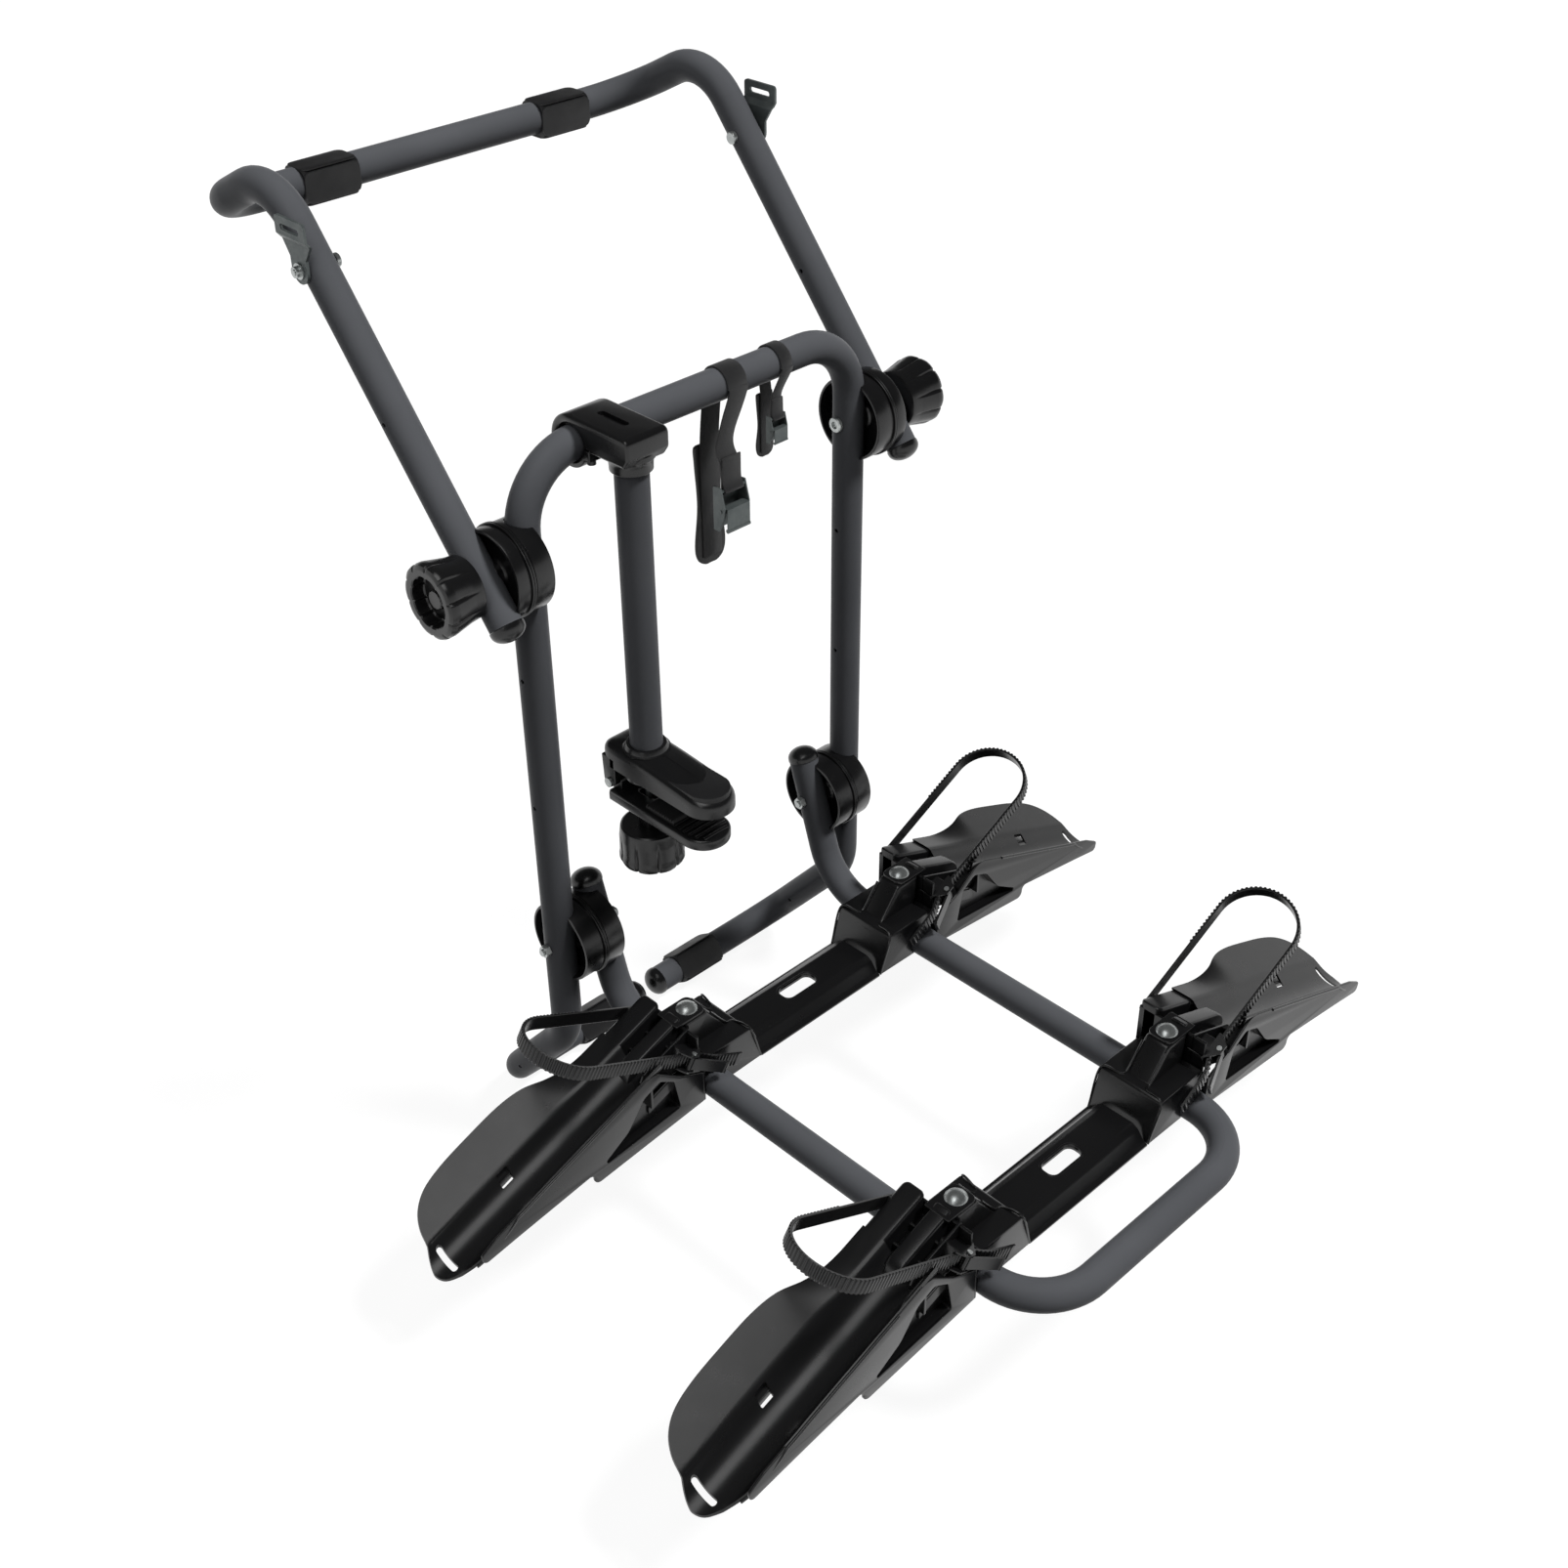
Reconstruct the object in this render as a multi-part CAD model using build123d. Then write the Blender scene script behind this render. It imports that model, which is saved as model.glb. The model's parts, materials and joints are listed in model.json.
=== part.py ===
from build123d import *
import math
import os

# Rear-mounted two-bike carrier: folding tube frames, two wheel trays, one clamp arm.
# Millimetres. +X is the carrier's right seen from behind, +Y points to the car, +Z is up.
# The plane y = 0 holds the two main legs. Heights below are counted from the floor line
# under the feet; save() then moves the origin up to the middle of the main crossbar.

# Tubing
tube_r = 17.5
tube_wall = 1.5
small_hole_r = 2.6
fit = 0.05
gap = 0.3

# Main frame
main_half = 226.0
main_top_z = 903.6
main_top_bend = 72.0
leg_bend = 80.0
knee_z = 188.0
foot_y = 134.0
foot_z = 33.0
foot_bend = 60.0
foot_end_x = 22.0

# Upper frame, hinged on the main legs
upper_step = 53.0
upper_half = main_half + upper_step
upper_pivot_z = 800.5
upper_rise = 50.0
upper_leg = 430.0
hook_turn = 76.8
hook_length = 153.0
knee_bend = 68.0
hook_bend = 70.0
plate_station = 333.0

# Tray frame, hinged lower down between the main legs
rail_half = 171.0
rail_z = 200.0
lower_pivot_z = 319.0
stub_lean = 17.4
stub_bend = 75.0
tray_end_y = -659.3
tray_bend = 74.0

# Hinge pods, bolts and knobs
pod_r = 47.0
pod_face = 9.0
flange_rim = 2.0
flange_r = pod_r + flange_rim
tail_past_pod = 3.0
upper_tail = pod_r + tail_past_pod
stub_top = pod_r + tail_past_pod
flange_t = 2.0
bolt_r = 4.0
head_r = 8.5
knob_r = 39.0
knob_neck_r = 32.0
knob_length = 46.0

# Caps and pads
cap_lip = 0.8
cap_r = tube_r + cap_lip
cap_dome = 13.0
pad_length = 68.0
pad_wall = 1.75
pad_side = 2 * (tube_r + pad_wall)
roof_pad_x = (-173.0, 139.0)

# Strap plates
plate_t = 3.0
plate_width = 48.0
slot_length = 31.0
slot_width = 6.0
slot_rise = 41.0
plate_joggle = 5.0

# Wheel trays
tray_y = (-146.0, -539.0)
bridge_half = 97.0
bridge_width = 82.0
bridge_top = 8.0
bridge_bottom = -12.0
skin = 3.0
shelf_z = 40.0
spine_half = 16.0
spine_z = 76.0
rail_clear = 0.5
scoop_start = rail_half + tube_r + rail_clear
clamp_step = 2.0
clamp_outer = scoop_start - clamp_step
scoop_slope = 0.385
crease_y = 22.0
crease_z0 = 80.0
trough_start = 262.0
trough_depth = 18.0
wing_y = 72.0
wing_rise = 20.0
slot_station = 512.0
tongue_end = 533.0
near_rim_y = -48.0
rim_rise = 20.0
foot_end = 350.0
foot_z0 = -12.0
foot_drop = 17.0
foot_depth = 17.0
pocket_depth = 10.0
drain_x = (412.0, 427.0)
drain_y = (8.0, 21.0)

# Wheel straps
strap_t = 2.6
strap_width = 16.0
strap_tilt = 27.0
strap_loop_r = 46.6
strap_reach = 150.0
strap_tail = 70.0
strap_foot = (203.0, -40.0, 52.0)
strap_across = (0.0, 93.0, 9.0)
tooth_pitch = 5.0
tooth_height = 1.2
ratchet_u = 6.0
ratchet_v = -6.6
rivet_r = 2.5

# Bike arm
arm_x = -135.0
arm_y = -59.0
liner_t = 2.1
liner_r = tube_r + liner_t
liner_half = 18.0
head_width = 54.0
head_wall = 9.4
arm_head_r = liner_r + head_wall
head_nose_y = -86.0
nose_z = 902.0
collar_z = 890.0
clamp_bolt_y = 24.0
collar_wall = 4.0
collar_r = tube_r + collar_wall
arm_bottom_z = 538.0
jaw_width = 56.0
jaw_back_y = -14.0
jaw_tip_y = -181.0
jaw_top_z = 567.0
jaw_skirt_z = 540.0
jaw_wall = 4.0
jaw_pivot_y = -28.0
jaw_pivot_z = 520.0
lower_tip_y = -173.0
lower_top_z = 508.0
lower_bottom_z = 495.0
rocker_r = 14.0
rocker_z = 496.0
jaw_knob_top = 469.0
jaw_knob_r = 36.0
jaw_knob_length = 47.0

# Webbing loops
web_t = 2.0
web_width = 26.0
web_pad_y = 13.0


def save(name, *shapes):
    # One STEP file for each named piece or group of like pieces
    solids = []
    for shape in shapes:
        solids.extend((Pos(0, 0, -main_top_z) * shape).solids())
    item = solids[0] if len(solids) == 1 else Compound(children=solids)
    item.label = name
    export_step(item, "parts/" + name + ".step")


def mirrored(shape):
    return mirror(shape, Plane.YZ)


def rod_x(x0, x1, r, y=0.0, z=0.0):
    # Round bar along X
    return Plane(origin=(x0, y, z), z_dir=(1, 0, 0)) * Cylinder(r, x1 - x0, align=(Align.CENTER, Align.CENTER, Align.MIN))


def rod_y(y0, y1, r, x=0.0, z=0.0):
    return Plane(origin=(x, y0, z), z_dir=(0, 1, 0)) * Cylinder(r, y1 - y0, align=(Align.CENTER, Align.CENTER, Align.MIN))


def rod_z(z0, z1, r, x=0.0, y=0.0):
    return Pos(x, y, z0) * Cylinder(r, z1 - z0, align=(Align.CENTER, Align.CENTER, Align.MIN))


def block(x0, x1, y0, y1, z0, z1):
    return Pos(x0, y0, z0) * Box(x1 - x0, y1 - y0, z1 - z0, align=(Align.MIN, Align.MIN, Align.MIN))


def bent_tube(points, radii):
    # Thin-walled tube along a line with rounded corners
    path = FilletPolyline(*points, radius=radii)
    ring = Circle(tube_r) - Circle(tube_r - tube_wall)
    return sweep(Plane(origin=path @ 0, z_dir=path % 0) * ring, path=path)


def end_cap(end, outward):
    # Domed plug pushed into a tube end
    low = (cap_dome ** 2 - cap_r ** 2) / (2 * cap_dome)
    ball = cap_dome - low
    start = math.degrees(math.asin(-low / ball))
    profile = make_face(
        Polyline((0, 0), (cap_r, 0), (cap_r, 3.0))
        + CenterArc((0, 3.0 + low), ball, start, 90 - start)
        + Line((0, 3.0 + cap_dome), (0, 0))
    )
    dome = revolve(Plane.XZ * profile, axis=Axis.Z)
    plug_r = tube_r - tube_wall - 0.2
    plug = Pos(0, 0, -18) * Cylinder(plug_r, 18, align=(Align.CENTER, Align.CENTER, Align.MIN))
    core = Pos(0, 0, -18) * Cylinder(plug_r - 3.0, 16, align=(Align.CENTER, Align.CENTER, Align.MIN))
    return Plane(origin=end, z_dir=outward) * (dome + plug - core)


def hex_nut(x, outward, r=6.5, height=6.5, y=0.0, z=0.0):
    # Hexagon nut with its hole along X; the face at x, growing outward (+1 or -1)
    body = extrude(RegularPolygon(r / math.cos(math.pi / 6), 6), height)
    body = body & Cone(r * 1.28, r * 1.05, height, align=(Align.CENTER, Align.CENTER, Align.MIN))
    hole = Cylinder(bolt_r + fit, 3 * height)
    return Plane(origin=(x, y, z), x_dir=(0, 1, 0), z_dir=(outward, 0, 0)) * (body - hole)


# Main frame pieces


def main_frame_points():
    right = [
        (foot_end_x, foot_y, foot_z),
        (main_half, foot_y, foot_z),
        (main_half, 0, knee_z),
        (main_half, 0, main_top_z),
    ]
    left = [(-x, y, z) for x, y, z in reversed(right)]
    return right, left


def upper_direction():
    a = math.radians(upper_rise)
    return (0, math.cos(a), math.sin(a))


def main_half_tube(side):
    # Half of the main frame, cut at the middle of the top bar so both halves mirror
    pts = main_frame_points()[0] + [(0, 0, main_top_z)]
    half = bent_tube(pts, [foot_bend, leg_bend, main_top_bend])
    return half if side > 0 else mirrored(half)


def make_main_tube():
    tube = main_half_tube(1) + main_half_tube(-1)
    for side in (1, -1):
        for z in (upper_pivot_z, lower_pivot_z):
            tube -= rod_x(side * main_half - 25, side * main_half + 25, bolt_r + fit, 0, z)
        x = side * main_half
        for z in (rail_z + 469.0, rail_z + 311.0):
            tube -= rod_x(x - 25, x, small_hole_r, 0, z)
        tube -= rod_x(x - 25, x, small_hole_r, 80.0, rail_z - 109.5)
    return tube


def make_main_caps():
    right = end_cap((foot_end_x, foot_y, foot_z), (-1, 0, 0))
    return right, mirrored(right)


def pad_block(x0, x1, y, z, turn):
    # Square rubber sleeve, thicker underneath, with rounded edges
    low = 20.5
    high = pad_side - low
    half = pad_side / 2
    sleeve = block(0, x1 - x0, -half, half, -low, high)
    sleeve = fillet(sleeve.edges().filter_by(Axis.X), 5.0)
    ends = sleeve.faces().filter_by(Axis.X).edges()
    sleeve = chamfer(ends, 1.5)
    sleeve -= rod_x(-5, x1 - x0 + 5, tube_r + fit)
    return Pos(x0, y, z) * Rot(turn, 0, 0) * sleeve


def make_bumper_pads():
    right = pad_block(50.0, 50.0 + pad_length, foot_y, foot_z, 55.0)
    return right, mirrored(right)


def pod_shell(inner_x, outer_x, z, tube_axis):
    # Drum with a saddle for the tube on its outer face and a hollow behind its flange
    reach = abs(outer_x - inner_x)
    drum = Cylinder(pod_r, reach, align=(Align.CENTER, Align.CENTER, Align.MIN))
    drum = chamfer(drum.edges().group_by(Axis.Z)[-1], 2.0)
    drum += Cylinder(flange_r, flange_t, align=(Align.CENTER, Align.CENTER, Align.MIN))
    hollow = Cylinder(38, 6.5, align=(Align.CENTER, Align.CENTER, Align.MIN))
    hollow -= Cylinder(12, 6.5, align=(Align.CENTER, Align.CENTER, Align.MIN))
    drum -= hollow
    drum -= Cylinder(bolt_r + fit, 80)
    outward = 1 if outer_x > inner_x else -1
    shell = Plane(origin=(inner_x, 0, z), x_dir=(0, 1, 0), z_dir=(outward, 0, 0)) * drum
    tube_x, direction = tube_axis
    groove = Plane(origin=(tube_x, 0, z), z_dir=direction) * Cylinder(tube_r + fit, 160)
    return shell - groove


def make_upper_pod_main():
    # Half of the upper hinge carried by the main leg
    middle = (main_half + upper_half) / 2 - gap / 2
    right = pod_shell(middle, main_half, upper_pivot_z, (main_half, (0, 0, 1)))
    return right, mirrored(right)


def make_upper_pod_leg():
    middle = (main_half + upper_half) / 2 + gap / 2
    right = pod_shell(middle, upper_half - pod_face, upper_pivot_z, (upper_half, upper_direction()))
    return right, mirrored(right)


def make_lower_pod_main():
    middle = (main_half + rail_half) / 2 + gap / 2
    right = pod_shell(middle, main_half, lower_pivot_z, (main_half, (0, 0, 1)))
    return right, mirrored(right)


def stub_direction():
    a = math.radians(stub_lean)
    return (0, math.sin(a), math.cos(a))


def make_lower_pod_stub():
    middle = (main_half + rail_half) / 2 - gap / 2
    right = pod_shell(middle, rail_half, lower_pivot_z, (rail_half, stub_direction()))
    return right, mirrored(right)


def make_upper_bolts():
    # Button-headed bolt from the inner face of the main leg out into the knob
    head_x = main_half - tube_r
    shank = rod_x(head_x, upper_half + tube_r + 22.0, bolt_r, 0, upper_pivot_z)
    head = rod_x(head_x - 4.5, head_x, head_r, 0, upper_pivot_z)
    head = fillet(head.edges().group_by(Axis.X)[0], 1.5)
    dish = rod_x(head_x - 5.0, head_x - 2.0, head_r * 0.5, 0, upper_pivot_z)
    right = shank + head - dish
    return right, mirrored(right)


def make_lower_bolts():
    # Threaded pin through stub, pod and main leg
    pin = rod_x(rail_half - tube_r - 9.0, main_half + tube_r + 9.0, bolt_r, 0, lower_pivot_z)
    return pin, mirrored(pin)


def make_lower_main_nuts():
    nut = hex_nut(main_half + tube_r, 1, z=lower_pivot_z)
    return nut, mirrored(nut)


def make_lower_stub_nuts():
    nut = hex_nut(rail_half - tube_r - gap, -1, z=lower_pivot_z)
    return nut, mirrored(nut)


# Upper frame pieces


def leg_point(distance, x=upper_half):
    d = upper_direction()
    return (x, distance * d[1], upper_pivot_z + distance * d[2])


def crossbar_point():
    # Middle line of the top crossbar: up the leg, then over by the hook's turn
    d = upper_direction()
    a = math.radians(upper_rise - hook_turn)
    y = upper_leg * d[1] + hook_length * math.cos(a)
    z = upper_pivot_z + upper_leg * d[2] + hook_length * math.sin(a)
    return y, z


def make_upper_tube():
    y, z = crossbar_point()
    pts = [leg_point(-upper_tail), leg_point(upper_leg), (upper_half, y, z), (0, y, z)]
    half = bent_tube(pts, [knee_bend, hook_bend])
    tube = half + mirrored(half)
    for side in (1, -1):
        x = side * upper_half
        tube -= rod_x(x - 25, x + 25, bolt_r + fit, 0, upper_pivot_z)
        p = leg_point(plate_station)
        tube -= rod_x(x - 25, x + 25, 3.0 + fit, p[1], p[2])
        q = leg_point(170.0)
        tube -= rod_x(x - 25, x, small_hole_r, q[1], q[2])
    return tube


def make_upper_caps():
    d = upper_direction()
    right = end_cap(leg_point(-upper_tail), (0, -d[1], -d[2]))
    return right, mirrored(right)


def make_roof_pads():
    # The sleeves have been slid to unequal places along the bar, as photographed
    y, z = crossbar_point()
    right = pad_block(roof_pad_x[1], roof_pad_x[1] + pad_length, y, z, 0.0)
    left = pad_block(roof_pad_x[0], roof_pad_x[0] + pad_length, y, z, 0.0)
    return right, left


def plate_outline():
    # Wide head with a slot, tapering to a round foot on the bolt
    half = plate_width / 2
    top = slot_rise + 10.0
    foot = 13.0
    side = [(half, top), (half, slot_rise - 12.0), (foot, 12.0)]
    pts = side + [(foot, 0), (-foot, 0)] + [(-x, z) for x, z in reversed(side)]
    face = make_face(Polyline(*pts, close=True)) + Circle(foot)
    corners = face.vertices().group_by(Axis.Y)[-1]
    return fillet(corners, 4.0)


def make_strap_plate(side):
    # Flat plate with its slotted head set outward by a joggle
    flat = extrude(plate_outline(), plate_t + plate_joggle)
    bend = slot_rise - 14.0
    lower = flat & block(-60, 60, -40, bend, 0, plate_t)
    upper = flat & block(-60, 60, bend + 6.0, 90, plate_joggle, plate_joggle + plate_t)
    ramp_line = Polyline((bend, 0), (bend, plate_t), (bend + 6.0, plate_joggle + plate_t), (bend + 6.0, plate_joggle), close=True)
    ramp = extrude(Plane.YZ * make_face(ramp_line), 60, both=True) & flat
    plate = lower + ramp + upper
    slot = Pos(0, slot_rise, 0) * extrude(SlotOverall(slot_length, slot_width), 30, both=True)
    plate = plate - slot - Cylinder(3.0 + fit, 60)
    p = leg_point(plate_station)
    x = upper_half + tube_r + gap
    placed = Plane(origin=(x, p[1], p[2]), x_dir=(0, 1, 0), z_dir=(1, 0, 0)) * plate
    return placed if side > 0 else mirrored(placed)


def make_plate_bolts():
    # Bolt through the leg, its head on the inner face and a shoulder nut over the plate
    p = leg_point(plate_station)
    inner = upper_half - tube_r
    outer = upper_half + tube_r + gap + plate_t + gap
    shank = rod_x(inner, outer + 7.0, 3.0, p[1], p[2])
    head = rod_x(inner - 5.0, inner, 7.0, p[1], p[2])
    head = fillet(head.edges().group_by(Axis.X)[0], 1.5)
    washer = rod_x(outer, outer + 1.5, 8.0, p[1], p[2]) - rod_x(outer - 1, outer + 3, 3.0, p[1], p[2])
    nut = rod_x(outer + 1.5, outer + 6.0, 5.5, p[1], p[2]) - rod_x(outer, outer + 8, 3.0, p[1], p[2])
    right = shank + head + washer + nut
    return right, mirrored(right)


def make_knob_body(length, outer_r, neck_r, lobes):
    # Tapered hand knob with scallops at its wide end; its seat is at z = 0
    profile = Polyline(
        (0, 0), (neck_r - 2, 0), (neck_r, 2), (outer_r, length - 8),
        (outer_r, length - 3), (outer_r - 3, length), (0, length), close=True)
    body = revolve(Plane.XZ * make_face(profile), axis=Axis.Z)
    groove = Pos(0, 0, 10) * Cylinder(6.0, length, align=(Align.CENTER, Align.CENTER, Align.MIN))
    body -= PolarLocations(outer_r + 3.2, lobes) * groove
    body -= Pos(0, 0, length - 7) * Cylinder(outer_r * 0.62, 10, align=(Align.CENTER, Align.CENTER, Align.MIN))
    body += Pos(0, 0, length - 9) * Cylinder(9.0, 6, align=(Align.CENTER, Align.CENTER, Align.MIN))
    return body


def make_side_knob(side):
    knob = make_knob_body(knob_length, knob_r, knob_neck_r, 10)
    knob -= Cylinder(bolt_r + fit, 2 * 26.0)
    x = upper_half + tube_r
    groove = Plane(origin=(upper_half, 0, upper_pivot_z), z_dir=upper_direction()) * Cylinder(tube_r + gap, 200)
    placed = Plane(origin=(x + gap, 0, upper_pivot_z), z_dir=(1, 0, 0)) * knob
    placed -= groove
    return placed if side > 0 else mirrored(placed)


# Tray frame pieces


def make_tray_tube():
    d = stub_direction()
    top = (rail_half, stub_top * d[1], lower_pivot_z + stub_top * d[2])
    drop = (lower_pivot_z - rail_z) / d[2]
    corner = (rail_half, -drop * d[1], rail_z)
    pts = [top, corner, (rail_half, tray_end_y, rail_z), (0, tray_end_y, rail_z)]
    half = bent_tube(pts, [stub_bend, tray_bend])
    tube = half + mirrored(half)
    for side in (1, -1):
        x = side * rail_half
        tube -= rod_x(x - 25, x + 25, bolt_r + fit, 0, lower_pivot_z)
        for y in tray_y:
            tube -= rod_z(rail_z - 30, rail_z + 30, bolt_r + fit, x, y)
    return tube


def make_stub_caps():
    d = stub_direction()
    top = (rail_half, stub_top * d[1], lower_pivot_z + stub_top * d[2])
    right = end_cap(top, d)
    return right, mirrored(right)


def bridge_section(inset):
    # Half arch: flat top, sloping side and a small foot
    half = bridge_width / 2
    top = bridge_top - inset
    pts = [
        (0, bridge_bottom), (half - inset, bridge_bottom), (half - inset, bridge_bottom + 3 - inset * 0.3),
        (half - 5 - inset, bridge_bottom + 4 - inset * 0.3), (27 - inset * 0.7, top - 4), (19, top), (0, top),
    ]
    return pts


def make_bridge(y):
    # Arched channel between the rail clamps with a window in its top
    def face(inset, lower):
        pts = bridge_section(inset)
        if lower:
            pts[0] = (0, bridge_bottom - 5)
            pts.insert(1, (bridge_width / 2 - inset, bridge_bottom - 5))
        left = [(-a, b) for a, b in reversed(pts[1:-1])]
        return make_face(Polyline(*(pts + left), close=True))
    outer = extrude(Plane.YZ * face(0, False), bridge_half, both=True)
    inner = extrude(Plane.YZ * face(skin, True), bridge_half, both=True)
    window = extrude(RectangleRounded(50, 21, 8), 60, both=True)
    rim = extrude(RectangleRounded(56, 27, 11) - RectangleRounded(50, 21, 8), -7)
    beam = outer - inner - window
    beam += Pos(0, 0, bridge_top - 0.5) * rim
    return Pos(0, y, rail_z) * beam


def make_clamp(side, y):
    # Saddle over the rail: broad base, narrow spine and a level top for the bolt
    half = bridge_width / 2
    base_line = Polyline(
        (bridge_half + gap, bridge_bottom), (115, shelf_z), (clamp_outer, shelf_z), (clamp_outer, bridge_bottom), close=True)
    base = extrude(Plane.XZ * make_face(base_line), half, both=True)
    spine_line = Polyline(
        (110, shelf_z - 8), (127, shelf_z), (156, spine_z), (clamp_outer, spine_z), (clamp_outer, shelf_z - 8), close=True)
    spine = extrude(Plane.XZ * make_face(spine_line), spine_half, both=True)
    body = base + spine
    hollow_line = Polyline(
        (bridge_half + 7, bridge_bottom - 1), (118, shelf_z - skin), (clamp_outer - 3, shelf_z - skin),
        (clamp_outer - 3, bridge_bottom - 1), close=True)
    core = extrude(Plane.XZ * make_face(hollow_line), half - skin, both=True)
    post = block(150, 192, -half, half, bridge_bottom, shelf_z)
    body -= core - post
    body -= rod_y(-80, 80, tube_r + fit, rail_half, 0)
    body -= block(rail_half, rail_half + 30, -80, 80, -30, 0)
    body -= rod_z(-60, 120, bolt_r + fit, rail_half, 0)
    placed = Pos(0, y, rail_z) * body
    return placed if side > 0 else mirrored(placed)


def make_lower_clamp(side, y):
    # Half-round strap under the rail, held by the same bolt
    ring = rod_y(-30, 30, tube_r + 4.0, rail_half, 0) - rod_y(-40, 40, tube_r + fit, rail_half, 0)
    lower = ring & block(rail_half - 40, rail_half + 40, -40, 40, -40, bridge_bottom - gap)
    lower += block(rail_half - 11, rail_half + 11, -11, 11, -26, -18.5) - rod_y(-40, 40, tube_r + fit, rail_half, 0)
    lower -= rod_z(-60, 60, bolt_r + fit, rail_half, 0)
    placed = Pos(0, y, rail_z) * lower
    return placed if side > 0 else mirrored(placed)


def make_tray_bolt(side, y):
    # Dome-headed bolt down through tab, clamp and rail
    seat = spine_z + 4.0
    ball = 15.0
    dome = Pos(0, 0, seat + 6.5 - ball) * Sphere(ball) & block(-20, 20, -20, 20, seat, seat + 10)
    shank = rod_z(-34, seat + 1, bolt_r)
    placed = Pos(rail_half, y, rail_z) * (dome + shank)
    return placed if side > 0 else mirrored(placed)


def make_tray_nut(side, y):
    body = extrude(RegularPolygon(6.5 / math.cos(math.pi / 6), 6), 6.5) - Cylinder(bolt_r + fit, 30)
    placed = Pos(rail_half, y, rail_z - 32.5) * body
    return placed if side > 0 else mirrored(placed)


def crease_z(x):
    return crease_z0 - scoop_slope * (x - 197.0)


def sloped(face, x0, x1):
    # Carries an upright section from x0 to x1 down the slope of the scoop
    run = x1 - x0
    drop = crease_z(x1) - crease_z(x0)
    start = Plane(origin=(x0, 0, crease_z(x0)), x_dir=(0, 1, 0), z_dir=(1, 0, 0)) * face
    return extrude(start, amount=math.hypot(run, drop), dir=(run, 0, drop))


def scoop_skin():
    # Wing, crease and trough as one wall, cut to its outline seen from above
    bottom = ((crease_y + near_rim_y) / 2, -trough_depth)
    line = Line((wing_y, wing_rise), (crease_y, 0))
    line += ThreePointArc((crease_y, 0), bottom, (near_rim_y, rim_rise))
    section = trace(line, skin) + Pos(crease_y, 0) * Circle(skin / 2)
    section += Pos(near_rim_y, rim_rise) * Circle(skin * 0.8)
    wall = sloped(section, trough_start, tongue_end + 20)
    edge = Spline(
        (trough_start, 50), (325, 54), (372, 66), (440, 66), (490, 55), (517, 36), (520, 23),
        tangents=((1, 0), (0, -1)))
    tongue = Spline((520, 23), (tongue_end, -2), (515, -26), tangents=((0.6, -0.5), (-1, -0.3)))
    near = Spline((515, -26), (488, -46), (450, near_rim_y - 4), tangents=((-1, -0.5), (-1, 0)))
    inner = Polyline((450, near_rim_y - 4), (trough_start, near_rim_y - 4), (trough_start, 50))
    outline = extrude(make_face(edge + tongue + near + inner), 400, both=True)
    wall = wall & outline
    wall -= Pos(slot_station, 0, 0) * extrude(Rot(0, 0, 90) * SlotOverall(32, 7), 300, both=True)
    wall -= block(*drain_x, *drain_y, -200, 200)
    return wall


def bar_section(y0, y1, depth):
    # Upside-down channel with bevelled shoulders, its top on the slope line
    bevel = 4.0
    pts = [
        (y1, -bevel), (y1 - bevel, 0), (y0 + bevel, 0), (y0, -bevel), (y0, -depth),
        (y0 + skin, -depth), (y0 + skin, -skin - 2), (y1 - skin, -skin - 2), (y1 - skin, -depth), (y1, -depth),
    ]
    return make_face(Polyline(*pts, close=True))


def wall_section(y, top, depth):
    return make_face(Polyline((y, top), (y - skin, top), (y - skin, -depth), (y, -depth), close=True))


def scoop_box():
    # Raised inner part: broad far bar, rounded middle bar, thin near ribs, floor and end wall
    box = sloped(bar_section(crease_y, 50.0, 58.0), scoop_start, trough_start + 24)
    box += sloped(bar_section(-11.0, 9.0, 46.0), scoop_start, trough_start)
    box += sloped(wall_section(-21.0, -6.0, 44.0), scoop_start, trough_start)
    box += sloped(wall_section(-36.0, -26.0, 44.0), scoop_start, trough_start)
    floor = make_face(Polyline((25, -26), (-39, -26), (-39, -29), (25, -29), close=True))
    box += sloped(floor, scoop_start, trough_start + 1)
    box += block(scoop_start, scoop_start + skin, -39, 50, 22, 66)
    closing = make_face(Polyline(
        (24, -1), (10, -11), (-13, -trough_depth), (-34, -4), (near_rim_y + 1, rim_rise), (near_rim_y + 1, -30), (24, -30),
        close=True))
    box += sloped(closing, trough_start - 1.5, trough_start + 1.5)
    return box & block(scoop_start, 300, -60, 60, foot_z0, 120)


def rim_z(x):
    return crease_z(x) + rim_rise


def scoop_flank():
    # Near side wall: foot rail, inner post and tapering outer part round an open pocket
    inner = near_rim_y + skin
    end_z = foot_z0 - foot_drop
    outline = Polyline(
        (scoop_start + 3, foot_z0), (foot_end, end_z), (foot_end, end_z + foot_depth), (456, -28), (498, -35),
        (500, -24), (480, rim_z(480)), (trough_start, rim_z(trough_start)), (225, 46), (scoop_start + 3, 30), close=True)
    window = Polyline((222, 10), (236, 40), (256, 55), (308, 34), (330, -4), close=True)
    wall = Pos(0, inner, 0) * extrude(Plane.XZ * make_face(outline), skin)
    hole = make_face(window)
    wall -= Pos(0, inner + 5, 0) * extrude(Plane.XZ * hole, 20)
    rim = offset(hole, skin) - hole
    pocket = Pos(0, inner + pocket_depth, 0) * extrude(Plane.XZ * rim, pocket_depth)
    wall += pocket & block(scoop_start, 360, near_rim_y, near_rim_y + 40, -60, 62)
    foot = Polyline((scoop_start + 3, foot_z0), (foot_end, end_z), (foot_end, end_z + skin), (scoop_start + 3, foot_z0 + skin), close=True)
    wall += Pos(0, near_rim_y + 26, 0) * extrude(Plane.XZ * make_face(foot), 26)
    wall += block(scoop_start, scoop_start + skin + 1, near_rim_y, -36, foot_z0, 30)
    wall += block(scoop_start, scoop_start + skin, -39, 44, foot_z0, 24)
    return wall


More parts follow.
